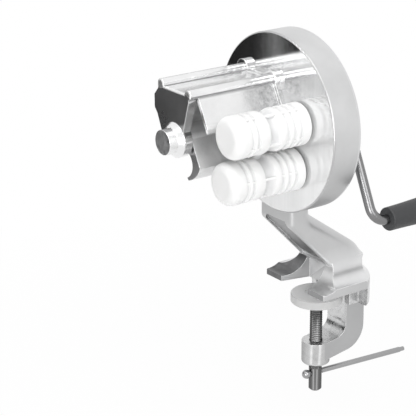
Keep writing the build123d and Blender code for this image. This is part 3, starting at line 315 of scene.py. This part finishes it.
def finish_material(name, colour, metallic, roughness, skin=None, values=None, tone=0.0,
                    spread=0.0, bump=0.0, edge=0.0, edge_radius=0.7, root=0.0, fade=None,
                    satin=None):
    """A principled material; a skin group varies its colour, roughness and normal.

    tone and spread are how much the skin varies the colour and the roughness, bump its relief.
    edge is how much a painted highlight brightens edges, within edge_radius millimetres.
    root is how much mottled painted shade darkens the hood next to the drum.
    fade is (from, to, factor): the colour's factor goes from 1 to factor between the heights.
    satin is (from, to, metallic): the metallic share goes from 1 to metallic between them.
    """
    material = bpy.data.materials.new(name)
    material.use_nodes = True
    tree = material.node_tree
    shader = tree.nodes["Principled BSDF"]
    shader.inputs["Base Color"].default_value = (*colour, 1)
    shader.inputs["Metallic"].default_value = metallic
    shader.inputs["Roughness"].default_value = roughness
    if skin is None:
        return material
    place = object_place(tree)
    marks = use_group(tree, skin, place, values)
    dark = tuple(channel * (1 - tone) for channel in colour)
    light = tuple(min(1.0, channel * (1 + tone / 2)) for channel in colour)
    shade = colour_mix(tree, math_node(tree, "ADD", marks["Tone"], 0.0, True), dark, light)
    if fade:
        shade = scaled_colour(tree, shade, height_factor(tree, place, fade))
    if satin:
        tree.links.new(height_factor(tree, place, satin), shader.inputs["Metallic"])
    if root:
        shade = shade_root_and_creases(tree, place, shade, root)
    swing = math_node(tree, "MULTIPLY", math_node(tree, "SUBTRACT", marks["Tone"], 0.5), spread)
    tree.links.new(math_node(tree, "ADD", swing, roughness, True), shader.inputs["Roughness"])
    relief = tree.nodes.new("ShaderNodeBump")
    relief.inputs["Strength"].default_value = bump
    relief.inputs["Distance"].default_value = RELIEF_DEPTH
    tree.links.new(marks["Height"], relief.inputs["Height"])
    if edge:
        # a painted highlight along the edges
        edge_highlight = use_group(tree, "edges", None, {"Radius": edge_radius * MM})
        shade = colour_mix(tree, math_node(tree, "MULTIPLY", edge_highlight["Mask"], edge), shade, EDGE_HIGHLIGHT)
        tree.links.new(edge_highlight["Normal"], relief.inputs["Normal"])
    tree.links.new(shade, shader.inputs["Base Color"])
    tree.links.new(relief.outputs["Normal"], shader.inputs["Normal"])
    return material


ROLLER_WHITE = (0.80, 0.80, 0.797)
ROLLER_GROOVE_SHADE = (0.70, 0.702, 0.704)


def roller_material(name, axis):
    """White moulded plastic with painted shade down in the grooves about axis."""
    material = finish_material(name, ROLLER_WHITE, 0.0, 0.34)
    tree = material.node_tree
    sunk = use_group(tree, "grooves", object_place(tree),
                     {"Axis X": axis.x, "Axis Z": axis.z,
                      "Radius": ROLLER_RADIUS - 0.15 * MM, "Depth": 2.4 * MM})
    shader = tree.nodes["Principled BSDF"]
    shader.inputs["Subsurface Weight"].default_value = 0.35
    shader.inputs["Subsurface Scale"].default_value = 3 * MM
    shader.inputs["Subsurface Radius"].default_value = (1, 1, 1)
    # painted shade in the grooves
    tree.links.new(colour_mix(tree, sunk["Mask"], ROLLER_WHITE, ROLLER_GROOVE_SHADE),
                   shader.inputs["Base Color"])
    return material


def paint_view_highlights(material, stops):
    """Scales a turned piece's colour by how far it turns from the view, as painted highlights and
    painted shade.

    stops are (turn, factor): painted bright lines lie where it nearly faces the view, painted dark
    sides where it turns away.
    """
    tree = material.node_tree
    base = tree.nodes["Principled BSDF"].inputs["Base Color"]
    facing = tree.nodes.new("ShaderNodeLayerWeight")
    facing.inputs["Blend"].default_value = 0.5
    ramp = tree.nodes.new("ShaderNodeValToRGB")
    while len(ramp.color_ramp.elements) < len(stops):
        ramp.color_ramp.elements.new(1.0)
    for element, (turn, level) in zip(ramp.color_ramp.elements, stops):
        element.position = turn
        element.color = (level, level, level, 1)
    tree.links.new(facing.outputs["Facing"], ramp.inputs[0])
    colour = base.links[0].from_socket if base.links else tuple(base.default_value[:3])
    tree.links.new(scaled_colour(tree, colour, ramp.outputs[0]), base)
    return material


# painted highlights and painted shade of the clamp screw and its boss
SCREW_HIGHLIGHT_STOPS = ((0.08, 0.30), (0.104, 0.16), (0.124, 0.44), (0.15, 0.40), (0.185, 0.20),
                 (0.24, 0.16), (0.46, 0.09), (0.80, 0.06))
BOSS_HIGHLIGHT_STOPS = ((0.09, 0.60), (0.112, 0.69), (0.126, 1.0), (0.148, 1.0), (0.17, 0.78),
                (0.215, 0.68), (0.353, 0.60), (0.605, 0.45), (0.78, 0.34))

FINISH = {
    # fade paints light: the casting grows lighter from 32 mm down to 12 mm
    "cast_case": finish_material(
        "Satin cast aluminium", (0.6, 0.602, 0.605), 1.0, 0.36, "cast",
        {"Grain": 1400.0, "Cloud": 22.0}, tone=0.2, spread=0.12, bump=0.1, edge=0.8,
        fade=(32.0, 12.0, 1.34)),
    # fade paints a dark reflection: the face darkens from 156 mm up to 168 mm
    "drum_face": finish_material(
        "Polished drum face", (0.86, 0.863, 0.866), 1.0, 0.13, "brushed",
        {"Fineness": 0.6, "Banding": 0.7}, tone=0.16, spread=0.1, bump=0.05,
        fade=(156.0, 168.0, 0.88), satin=(164.0, 148.0, 0.45)),
    "cast_edge": finish_material(
        "Satin cast edge", (0.6, 0.602, 0.605), 1.0, 0.36, "cast",
        {"Grain": 1400.0, "Cloud": 22.0}, tone=0.2, spread=0.12, bump=0.1, edge=0.8),
    # fade paints shade: the rim darkens from 125 mm down to 75 mm
    "drum_rim": finish_material(
        "Satin drum rim", (0.66, 0.662, 0.665), 1.0, 0.36, "cast",
        {"Grain": 900.0, "Cloud": 30.0}, tone=0.18, spread=0.12, bump=0.1,
        fade=(125.0, 75.0, 0.66)),
    "rim_edge": finish_material("Bright drum edge", (0.52, 0.52, 0.523), 1.0, 0.3),
    # painted shade on the left foot's top and tip
    "foot_shade": finish_material(
        "Cast foot with painted shade", (0.2, 0.201, 0.204), 1.0, 0.34, "cast",
        {"Grain": 900.0, "Cloud": 150.0}, tone=0.55, spread=0.2, bump=0.25),
    # painted light on the right foot's top
    "cast_lit": finish_material(
        "Cast foot top with painted light", (0.9, 0.902, 0.905), 1.0, 0.38, "cast",
        {"Grain": 900.0, "Cloud": 90.0}, tone=0.22, spread=0.2, bump=0.15, edge=0.8),
    "cast_web": finish_material(
        "Satin cast web", (0.48, 0.482, 0.485), 1.0, 0.42, "cast",
        {"Grain": 1200.0, "Cloud": 26.0}, tone=0.16, spread=0.1, bump=0.1, edge=0.6),
    "cast_mottled": finish_material(
        "Mottled cast skin", (0.7, 0.702, 0.705), 1.0, 0.28, "cast",
        {"Grain": 700.0, "Cloud": 190.0}, tone=0.5, spread=0.4, bump=0.55, edge=0.8),
    "arm_face": finish_material(
        "Brushed arm face", (0.38, 0.38, 0.385), 1.0, 0.28, "cast",
        {"Grain": 900.0, "Cloud": 25.0}, tone=0.25, spread=0.1, bump=0.04, edge=0.6),
    "boss_face": finish_material(
        "Mottled boss face", (0.55, 0.551, 0.555), 1.0, 0.34, "cast",
        {"Grain": 600.0, "Cloud": 240.0}, tone=0.75, spread=0.4, bump=0.6, edge=0.8),
    # root paints shade at the hood's root and along its ridges
    "cast_hood": finish_material(
        "Polished cast hood", (0.89, 0.891, 0.893), 1.0, 0.2, "cast",
        {"Grain": 700.0, "Cloud": 40.0}, tone=0.18, spread=0.2, bump=0.12, edge=0.35, root=0.6),
    # a wide painted highlight on the rounded ridge ends
    "ridge_end": finish_material(
        "Polished ridge end", (0.94, 0.941, 0.943), 1.0, 0.3, "cast",
        {"Grain": 700.0, "Cloud": 60.0}, tone=0.2, spread=0.2, bump=0.1, edge=0.9,
        edge_radius=3.0),
    "cast_rotor": finish_material(
        "Cast cutter blades", (0.9, 0.902, 0.905), 0.8, 0.46, "cast",
        {"Grain": 900.0, "Cloud": 80.0}, tone=0.3, spread=0.15, bump=0.25, edge=0.9),
    # its darker colour is painted shade on the neck's sunk channel; the roughness is the skin's own
    "cast_rough": finish_material(
        "Cast skin left rough", (0.36, 0.362, 0.365), 1.0, 0.46, "cast",
        {"Grain": 1100.0, "Cloud": 70.0}, tone=0.3, spread=0.12, bump=0.3),
    "cover_sheet": finish_material(
        "Pressed cover sheet", (0.74, 0.745, 0.75), 1.0, 0.3, "brushed",
        {"Fineness": 0.8, "Banding": 0.4}, tone=0.12, bump=0.08),
    "screw_steel": finish_material("Plated screws", (0.66, 0.665, 0.67), 1.0, 0.28),
    "shaft_steel": finish_material("Ground shaft steel", (0.6, 0.605, 0.61), 1.0, 0.25),
    "gear_steel": finish_material("Cut gear steel", (0.52, 0.525, 0.53), 1.0, 0.38),
    "clip_steel": finish_material("Spring clip steel", (0.42, 0.425, 0.43), 1.0, 0.35),
    "clamp_steel": paint_view_highlights(
        finish_material("Zinc plated screw", (1.0, 1.0, 1.0), 1.0, 0.26),
        SCREW_HIGHLIGHT_STOPS),
    "boss_side": paint_view_highlights(
        finish_material(
            "Turned clamp boss", (0.96, 0.962, 0.965), 1.0, 0.28, "cast",
            {"Grain": 700.0, "Cloud": 190.0}, tone=0.3, spread=0.3, bump=0.35, edge=0.8),
        BOSS_HIGHLIGHT_STOPS),
    "bush_bronze": finish_material("Sintered bronze", (0.62, 0.47, 0.27), 1.0, 0.42),
    "roller_plastic": roller_material("White upper roller", UPPER_AXIS),
    "lower_plastic": roller_material("White lower roller", LOWER_AXIS),
    "crank_chrome": finish_material(
        "Plated crank rod", (0.24, 0.24, 0.243), 1.0, 0.24, "cast",
        {"Grain": 1000.0, "Cloud": 90.0}, tone=0.12, spread=0.1),
    "cap_chrome": finish_material("Plated cap", (0.68, 0.68, 0.685), 1.0, 0.15),
    "tommy_steel": finish_material(
        "Plated tommy bar", (0.38, 0.38, 0.384), 1.0, 0.22, "cast",
        {"Grain": 1000.0, "Cloud": 90.0}, tone=0.12, spread=0.1),
    "grip_plastic": finish_material("Dark grip plastic", (0.034, 0.035, 0.037), 0.0, 0.5),
    "pad_plastic": finish_material("Grey pad plastic", (0.57, 0.57, 0.568), 0.0, 0.4),
    # painted light: the pad's top is lighter than its side
    "pad_top_lit": finish_material("Grey pad plastic, top with painted light", (0.93, 0.93, 0.928), 0.0, 0.6),
}


# ---------------------------------------------------------------- dressed copies of the CAD nodes
MERGE_DISTANCE = 1e-6


def merged_copy(node):
    """A closed copy of a CAD node's mesh, its corners merged so that it can be shaded smooth."""
    mesh = NODES[node].data.copy()
    blank = bmesh.new()
    blank.from_mesh(mesh)
    bmesh.ops.remove_doubles(blank, verts=blank.verts, dist=MERGE_DISTANCE)
    blank.to_mesh(mesh)
    blank.free()
    mesh.materials.clear()
    return mesh


def settle(work):
    """Turns an object's modifiers into a plain mesh at the origin."""
    shown = bpy.context.evaluated_depsgraph_get()
    mesh = bpy.data.meshes.new_from_object(work.evaluated_get(shown))
    work.modifiers.clear()
    work.data = mesh
    return work


def smooth(mesh, angle=32.0):
    """Smooth shading by area-weighted normals; faces that meet past the angle keep a sharp edge."""
    limit = math.cos(math.radians(angle))
    never_zero = 1e-12
    faces = [(face.normal.copy(), face.area) for face in mesh.polygons]
    round_corner = [[] for _ in mesh.vertices]
    for face in mesh.polygons:
        for corner in face.vertices:
            round_corner[corner].append(face.index)
    normals = [None] * len(mesh.loops)
    for face in mesh.polygons:
        own = faces[face.index][0]
        for loop, corner in zip(face.loop_indices, face.vertices):
            total = own * never_zero
            for other in round_corner[corner]:
                normal, area = faces[other]
                if normal.dot(own) > limit:
                    total += normal * area
            normals[loop] = total.normalized()
    mesh.shade_smooth()
    mesh.normals_split_custom_set(normals)


def dress(node, slot, materials=None, chooser=None):
    """Shows a CAD node by a smooth copy with one finish, or one per face as the chooser says."""
    piece = bpy.data.objects.new(node + "_shown", merged_copy(node))
    bpy.context.scene.collection.objects.link(piece)
    smooth(piece.data)
    for key in materials or [slot]:
        piece.data.materials.append(FINISH[key])
    if chooser:
        for face in piece.data.polygons:
            face.material_index = materials.index(chooser(face))
    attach(piece, BODY_OF[node])
    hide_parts(node)
    return piece


CASE_FINISHES = ["cast_case", "drum_face", "cast_rough", "drum_rim", "rim_edge", "foot_shade",
                 "cast_lit", "cast_web", "cast_mottled", "cast_edge", "boss_side"]
STRAIGHT = 0.98                         # a normal within 11 degrees of a direction
ON_PLANE = 0.2 * MM                     # a face's centre lies on a plane within this
DRUM_CENTRE_Z = 130.5 * MM
DRUM_RADIUS = 65.0 * MM
DRUM_FACE_Y = -41.0 * MM
DRUM_LOW_Z = 66.0 * MM                  # below it the neck joins the rim
RIM_EDGE_DEPTH = 1.1 * MM
RIM_EDGE_REACH = 1.5 * MM
NECK_FOOT = Vector((0, -1.0, 16.5)) * MM
NECK_SLOPE = Vector((0, -0.716, -0.698))
CHANNEL_SUNK = -1.5 * MM
CHANNEL_SIDE_X = 15 * MM
FOOT_TIP_Y = -21.5 * MM
FOOT_TOP_Y = -1.2 * MM
FOOT_TOP_LOW_Z = 3 * MM
FOOT_TOP_HIGH_Z = 16.4 * MM
FOOT_INNER_Y = 1.3 * MM
FOOT_INNER_X = 15.5 * MM
FOOT_HEIGHT = 16 * MM
JAW_EDGE_HEIGHT = 6.6 * MM
LIP_LOW_Z = -15.6 * MM
BOSS_TOP_Z = -48.2 * MM
BOSS_REACH = 11 * MM


def looks_forward(face):
    """Whether a face looks straight along -Y, towards the rollers' free ends."""
    return face.normal.y < -STRAIGHT


def case_finish(face):
    """The finish of a face of the housing, by where it lies and where it looks."""
    place, normal = face.center, face.normal
    from_rim = abs(math.hypot(place.x, place.z - DRUM_CENTRE_Z) - DRUM_RADIUS)
    if looks_forward(face) and abs(place.y - DRUM_FACE_Y) < ON_PLANE:
        return "drum_face"
    if from_rim < RIM_EDGE_REACH and place.y < DRUM_FACE_Y + RIM_EDGE_DEPTH:
        return "rim_edge"
    if from_rim < 0.5 * MM and place.z > DRUM_LOW_Z:
        return "drum_rim"
    # painted shade on the left foot's tip
    if looks_forward(face) and abs(place.y - FOOT_TIP_Y) < ON_PLANE:
        return "foot_shade" if place.x < 0 else "cast_rough"
    sunk = (place - NECK_FOOT).dot(NECK_SLOPE)
    # painted shade: the neck's sunk channel takes the darker rough finish
    if normal.dot(NECK_SLOPE) > STRAIGHT and sunk < CHANNEL_SUNK and abs(place.x) < CHANNEL_SIDE_X:
        return "cast_rough"
    on_foot_top = FOOT_TOP_LOW_Z < place.z < FOOT_TOP_HIGH_Z and place.y < FOOT_TOP_Y
    # painted shade on the left foot's top, painted light on the right's
    if on_foot_top and normal.z > 0.2 and abs(normal.x) < 0.3:
        return "foot_shade" if place.x < 0 else "cast_lit"
    between_feet = 0 < place.z < FOOT_HEIGHT and abs(place.x) < FOOT_INNER_X
    # lit and shaded copies: the left foot's inner face takes the lighter finish as painted light
    if between_feet and abs(normal.x) > 0.7 and place.y < FOOT_INNER_Y:
        return "cast_edge" if place.x < 0 else "cast_web"
    if 0 < place.z < JAW_EDGE_HEIGHT and abs(normal.z) < 0.3:
        return "cast_edge"
    if place.z < BOSS_TOP_Z + ON_PLANE and math.hypot(place.x, place.y) < BOSS_REACH:
        return "boss_side" if abs(normal.z) < 0.3 else "cast_mottled"
    if place.z < -ON_PLANE and (place.z > LIP_LOW_Z or normal.y < -0.3 or normal.z > 0.3):
        return "cast_mottled"
    return "cast_web" if place.z < LIP_LOW_Z else "cast_case"


HOOD_FINISHES = ["cast_hood", "arm_face", "boss_face", "ridge_end"]
ARM_FACE_Y = -114 * MM
BOSS_FACE_Y = -116 * MM
RIDGE_FOOT_Z = 161.5 * MM


def hood_finish(face):
    """The finish of a face of the hood: its arm, the boss's nose and the ridge ends differ."""
    if not looks_forward(face) or face.center.y > ARM_FACE_Y:
        return "cast_hood"
    if face.center.y < BOSS_FACE_Y:
        return "boss_face"
    return "ridge_end" if face.center.z > RIDGE_FOOT_Z else "arm_face"


def rotor_finish(face):
    """The blades' front ends are dark; the rest keeps the cast finish."""
    return "arm_face" if looks_forward(face) else "cast_rotor"


def pad_finish(face):
    """The pad's top face, matt and lighter by painted light, and its side."""
    return "pad_top_lit" if face.normal.z > 0.9 else "pad_plastic"


for name, thing in NODES.items():
    thing.data.materials.clear()
    thing.data.materials.append(FINISH[SLOT_OF[name]])

dress("housing", "cast_case", CASE_FINISHES, case_finish)
dress("hood", "cast_hood", HOOD_FINISHES, hood_finish)
dress("clamp_pad", "pad_plastic", ["pad_plastic", "pad_top_lit"], pad_finish)
dress("cutter_rotor", "cast_rotor", ["cast_rotor", "arm_face"], rotor_finish)
dress("lower_roller", "roller_plastic", ["lower_plastic"])
for plain in ("crank_arm", "crank_hub", "crank_grip", "grip_cap", "back_cover", "tommy_bar",
              "upper_roller"):
    dress(plain, SLOT_OF[plain])


# ---------------------------------------------------------------- the clamp screw's thread
# Lengths and heights of the screw, in millimetres.
THREAD_PITCH = 1.5
THREAD_RADIUS = 5.0
THREAD_DEPTH = 0.92
THREAD_TOP = -17.6
THREAD_LOW = -70.8
RIDGE_SHARE = 0.94                      # of the pitch: the width of the ridge at its root
HELIX_STEPS = 40
SCREW_LOW = -89.4
SCREW_CHAMFER = 1.3
PIVOT_LOW = -16.4
PIVOT_TOP = -12.0
PIVOT_RADIUS = 3.5


def thread_tree(material):
    """Geometry Nodes for an outside thread: a ridge with a V profile swept along a helix."""
    tree = bpy.data.node_groups.new("Outside thread", "GeometryNodeTree")
    inputs = (("Pitch", THREAD_PITCH * MM), ("Radius", THREAD_RADIUS * MM),
              ("Depth", THREAD_DEPTH * MM), ("Turns", 10.0), ("Foot", 0.0))
    for title, value in inputs:
        socket = tree.interface.new_socket(title, in_out="INPUT", socket_type="NodeSocketFloat")
        socket.default_value = value
    tree.interface.new_socket("Geometry", in_out="OUTPUT", socket_type="NodeSocketGeometry")
    start = tree.nodes.new("NodeGroupInput")
    end = tree.nodes.new("NodeGroupOutput")
    given = start.outputs
    helix = tree.nodes.new("GeometryNodeCurveSpiral")
    helix.inputs["Resolution"].default_value = HELIX_STEPS
    root = math_node(tree, "SUBTRACT", given["Radius"], given["Depth"])
    tree.links.new(given["Turns"], helix.inputs["Rotations"])
    tree.links.new(root, helix.inputs["Start Radius"])
    tree.links.new(root, helix.inputs["End Radius"])
    rise = math_node(tree, "MULTIPLY", given["Turns"], given["Pitch"])
    tree.links.new(rise, helix.inputs["Height"])
    upright = tree.nodes.new("GeometryNodeSetCurveNormal")
    upright.mode = "Z_UP"
    tree.links.new(helix.outputs["Curve"], upright.inputs["Curve"])
    ridge = tree.nodes.new("GeometryNodeCurvePrimitiveQuadrilateral")
    ridge.mode = "KITE"
    width = math_node(tree, "MULTIPLY", given["Pitch"], RIDGE_SHARE)
    tree.links.new(width, ridge.inputs["Width"])
    tree.links.new(given["Depth"], ridge.inputs["Bottom Height"])
    tree.links.new(given["Depth"], ridge.inputs["Top Height"])
    sweep = tree.nodes.new("GeometryNodeCurveToMesh")
    sweep.inputs["Fill Caps"].default_value = True
    tree.links.new(upright.outputs["Curve"], sweep.inputs["Curve"])
    tree.links.new(ridge.outputs["Curve"], sweep.inputs["Profile Curve"])
    lift = tree.nodes.new("GeometryNodeTransform")
    place = tree.nodes.new("ShaderNodeCombineXYZ")
    tree.links.new(given["Foot"], place.inputs["Z"])
    tree.links.new(sweep.outputs["Mesh"], lift.inputs["Geometry"])
    tree.links.new(place.outputs[0], lift.inputs["Translation"])
    solid = tree.nodes.new("GeometryNodeRealizeInstances")
    paint = tree.nodes.new("GeometryNodeSetMaterial")
    paint.inputs["Material"].default_value = material
    tree.links.new(lift.outputs["Geometry"], solid.inputs["Geometry"])
    tree.links.new(solid.outputs["Geometry"], paint.inputs["Geometry"])
    tree.links.new(paint.outputs["Geometry"], end.inputs["Geometry"])
    return tree


def turned(profile, steps=64):
    """A closed turned mesh from (radius, z) points in millimetres, from the low end upwards."""
    blank = bmesh.new()
    rings = []
    for radius, height in profile:
        ring = []
        for step in range(steps):
            angle = 2 * math.pi * step / steps
            corner = Vector((radius * math.cos(angle), radius * math.sin(angle), height))
            ring.append(blank.verts.new(corner * MM))
        rings.append(ring)
    for lower, upper in zip(rings, rings[1:]):
        for step in range(steps):
            after = (step + 1) % steps
            blank.faces.new((lower[step], lower[after], upper[after], upper[step]))
    blank.faces.new(rings[0][::-1])
    blank.faces.new(rings[-1])
    mesh = bpy.data.meshes.new("turned")
    blank.to_mesh(mesh)
    blank.free()
    return mesh


def threaded_screw():
    """The clamp screw with its thread: a turned core with the swept ridge joined to it."""
    root = THREAD_RADIUS - THREAD_DEPTH
    core = turned([
        (THREAD_RADIUS - SCREW_CHAMFER, SCREW_LOW),
        (THREAD_RADIUS, SCREW_LOW + SCREW_CHAMFER),
        (THREAD_RADIUS, THREAD_LOW),
        (root, THREAD_LOW + THREAD_DEPTH),
        (root, PIVOT_LOW),
        (PIVOT_RADIUS, PIVOT_LOW),
        (PIVOT_RADIUS, PIVOT_TOP),
    ])
    core.materials.append(FINISH["clamp_steel"])
    screw = bpy.data.objects.new("threaded_screw", core)
    bpy.context.scene.collection.objects.link(screw)
    holder = bpy.data.objects.new("thread_ridge", bpy.data.meshes.new("thread_ridge"))
    bpy.context.scene.collection.objects.link(holder)
    made = holder.modifiers.new("Thread", "NODES")
    made.node_group = thread_tree(FINISH["clamp_steel"])
    sockets = {item.name: item.identifier for item in made.node_group.interface.items_tree
               if item.in_out == "INPUT"}
    made[sockets["Turns"]] = (THREAD_TOP - THREAD_LOW - THREAD_DEPTH) / THREAD_PITCH
    made[sockets["Foot"]] = (THREAD_LOW + THREAD_DEPTH / 2) * MM
    settle(holder)
    both = bmesh.new()
    both.from_mesh(core)
    both.from_mesh(holder.data)
    both.to_mesh(screw.data)
    both.free()
    bpy.data.objects.remove(holder)
    smooth(screw.data, 30)
    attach(screw, BODY_OF["clamp_screw"])
    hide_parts("clamp_screw")
    return screw


threaded_screw()


# ---------------------------------------------------------------- studio
FLOOR_SIDE = 6000
SCREW_DROP = 18                         # how far the clamp screw opens below its place at rest
FLOOR_GAP = 0.2
FLOOR_Z = size_at_start[0][2] / MM - SCREW_DROP - FLOOR_GAP
FLOOR_NEAR_SHARE = 0.96                 # of the floor's seen white, near the piece
FLOOR_FADE_START = 250 * MM
FLOOR_FADE_RUN = 250 * MM
SOFT_LEVEL = 0.48                       # the world's light on rough surfaces


def grey_emitter(name, level):
    """A material that shows one flat grey."""
    material = bpy.data.materials.new(name)
    material.use_nodes = True
    tree = material.node_tree
    tree.nodes.clear()
    out = tree.nodes.new("ShaderNodeOutputMaterial")
    glow = tree.nodes.new("ShaderNodeEmission")
    glow.inputs["Color"].default_value = (level, level, level, 1)
    tree.links.new(glow.outputs[0], out.inputs["Surface"])
    return material


def quad(name, corners, material):
    """A flat stage piece with its corners in millimetres."""
    mesh = bpy.data.meshes.new(name)
    mesh.from_pydata([Vector(corner) * MM for corner in corners], [], [tuple(range(len(corners)))])
    mesh.materials.append(material)
    made = bpy.data.objects.new(name, mesh)
    bpy.context.scene.collection.objects.link(made)
    return made


def seen_directly(tree):
    """1 where a camera, glossy or transmission ray meets the surface, otherwise 0."""
    path = tree.nodes.new("ShaderNodeLightPath")
    seen = math_node(tree, "MAXIMUM", path.outputs["Is Camera Ray"], path.outputs["Is Glossy Ray"])
    return math_node(tree, "MAXIMUM", seen, path.outputs["Is Transmission Ray"])


def floor_material():
    """A white floor that keeps a faint shadow and shows white to the camera and in reflections."""
    material = bpy.data.materials.new("White floor")
    material.use_nodes = True
    tree = material.node_tree
    shader = tree.nodes["Principled BSDF"]
    shader.inputs["Base Color"].default_value = (0.92, 0.92, 0.92, 1)
    shader.inputs["Roughness"].default_value = 0.9
    shader.inputs["Specular IOR Level"].default_value = 0.0
    out = tree.nodes["Material Output"]
    glow = tree.nodes.new("ShaderNodeEmission")
    away = tree.nodes.new("ShaderNodeVectorMath")
    away.operation = "LENGTH"
    tree.links.new(object_place(tree), away.inputs[0])
    past = math_node(tree, "SUBTRACT", away.outputs["Value"], FLOOR_FADE_START)
    far = math_node(tree, "DIVIDE", past, FLOOR_FADE_RUN, True)
    rise = math_node(tree, "MULTIPLY", far, 1 - FLOOR_NEAR_SHARE)
    share = math_node(tree, "ADD", rise, FLOOR_NEAR_SHARE)
    mix = tree.nodes.new("ShaderNodeMixShader")
    tree.links.new(math_node(tree, "MULTIPLY", seen_directly(tree), share), mix.inputs[0])
    tree.links.new(shader.outputs[0], mix.inputs[1])
    tree.links.new(glow.outputs[0], mix.inputs[2])
    tree.links.new(mix.outputs[0], out.inputs["Surface"])
    return material


def white_world():
    """White for the camera and in reflections, a plain soft level for the rest."""
    world = bpy.data.worlds.new("Studio")
    world.use_nodes = True
    bpy.context.scene.world = world
    tree = world.node_tree
    back = tree.nodes["Background"]
    rise = math_node(tree, "MULTIPLY", seen_directly(tree), 1 - SOFT_LEVEL)
    tree.links.new(math_node(tree, "ADD", rise, SOFT_LEVEL), back.inputs["Strength"])
    back.inputs["Color"].default_value = (1, 1, 1, 1)


def softbox(name, place, aim, width, height, power):
    """A rectangular lamp; places and sizes in millimetres, power in watts."""
    data = bpy.data.lights.new(name, "AREA")
    data.shape = "RECTANGLE"
    data.size, data.size_y = width * MM, height * MM
    data.energy = power
    lamp = bpy.data.objects.new(name, data)
    bpy.context.scene.collection.objects.link(lamp)
    lamp.location = Vector(place) * MM
    lamp.rotation_mode = "QUATERNION"
    lamp.rotation_quaternion = (Vector(aim) - Vector(place)).to_track_quat("-Z", "Y")
    return lamp


def reflected_card(name, x, y_range, z_range, level):
    """A grey card across X beside the set, which shows only in reflections."""
    (y_low, y_high), (z_low, z_high) = y_range, z_range
    corners = [(x, y_low, z_low), (x, y_high, z_low), (x, y_high, z_high), (x, y_low, z_high)]
    card = quad(name, corners, grey_emitter(name, level))
    card.visible_camera = False
    card.visible_diffuse = False
    card.visible_shadow = False
    card.visible_transmission = False
    return card


white_world()
quad("floor", [(-FLOOR_SIDE, -FLOOR_SIDE, FLOOR_Z), (FLOOR_SIDE, -FLOOR_SIDE, FLOOR_Z),
               (FLOOR_SIDE, FLOOR_SIDE, FLOOR_Z), (-FLOOR_SIDE, FLOOR_SIDE, FLOOR_Z)],
     floor_material())
softbox("top light", (150, -250, 900), (0, -20, 90), 700, 700, 4.5)
softbox("side light", (900, -100, 500), (0, -20, 90), 500, 700, 2.5)
softbox("front light", (700, -900, 150), (0, -20, 60), 500, 500, 4)
reflected_card("left card", -400, (-520, -150), (-53, 200), 0.02)
reflected_card("light strip", -399, (-362, -351), (30, 200), 0.6)
reflected_card("back card", -400, (60, 235), (150, 300), 0.08)
reflected_card("grey card", -420, (-560, -150), (-88, -53), 0.55)


# ---------------------------------------------------------------- camera
CAMERA_PLACE = Vector((821.54, -688.07, 444.55)) * MM
CAMERA_AZIMUTH = math.radians(54.38)
CAMERA_ELEVATION = math.radians(19.86)
CAMERA_ROLL = math.radians(-0.49)
LENS = 133.8
SENSOR_WIDTH = 36.0


def place_camera():
    """The scene's camera, looking along its azimuth and elevation with a small roll."""
    across, along = math.sin(CAMERA_AZIMUTH), -math.cos(CAMERA_AZIMUTH)
    level = math.cos(CAMERA_ELEVATION)
    back = Vector((across * level, along * level, math.sin(CAMERA_ELEVATION)))
    right = Vector((-along, across, 0))
    up = back.cross(right)
    turned_right = math.cos(CAMERA_ROLL) * right + math.sin(CAMERA_ROLL) * up
    turned_up = math.cos(CAMERA_ROLL) * up - math.sin(CAMERA_ROLL) * right
    data = bpy.data.cameras.new("Camera")
    data.sensor_width = SENSOR_WIDTH
    data.lens = LENS
    data.clip_start = 0.01
    data.clip_end = 50
    camera = bpy.data.objects.new("Camera", data)
    bpy.context.scene.collection.objects.link(camera)
    turn = Matrix((turned_right, turned_up, back)).transposed()
    camera.matrix_world = Matrix.Translation(CAMERA_PLACE) @ turn.to_4x4()
    bpy.context.scene.camera = camera


place_camera()
bpy.context.scene.view_settings.view_transform = "Standard"
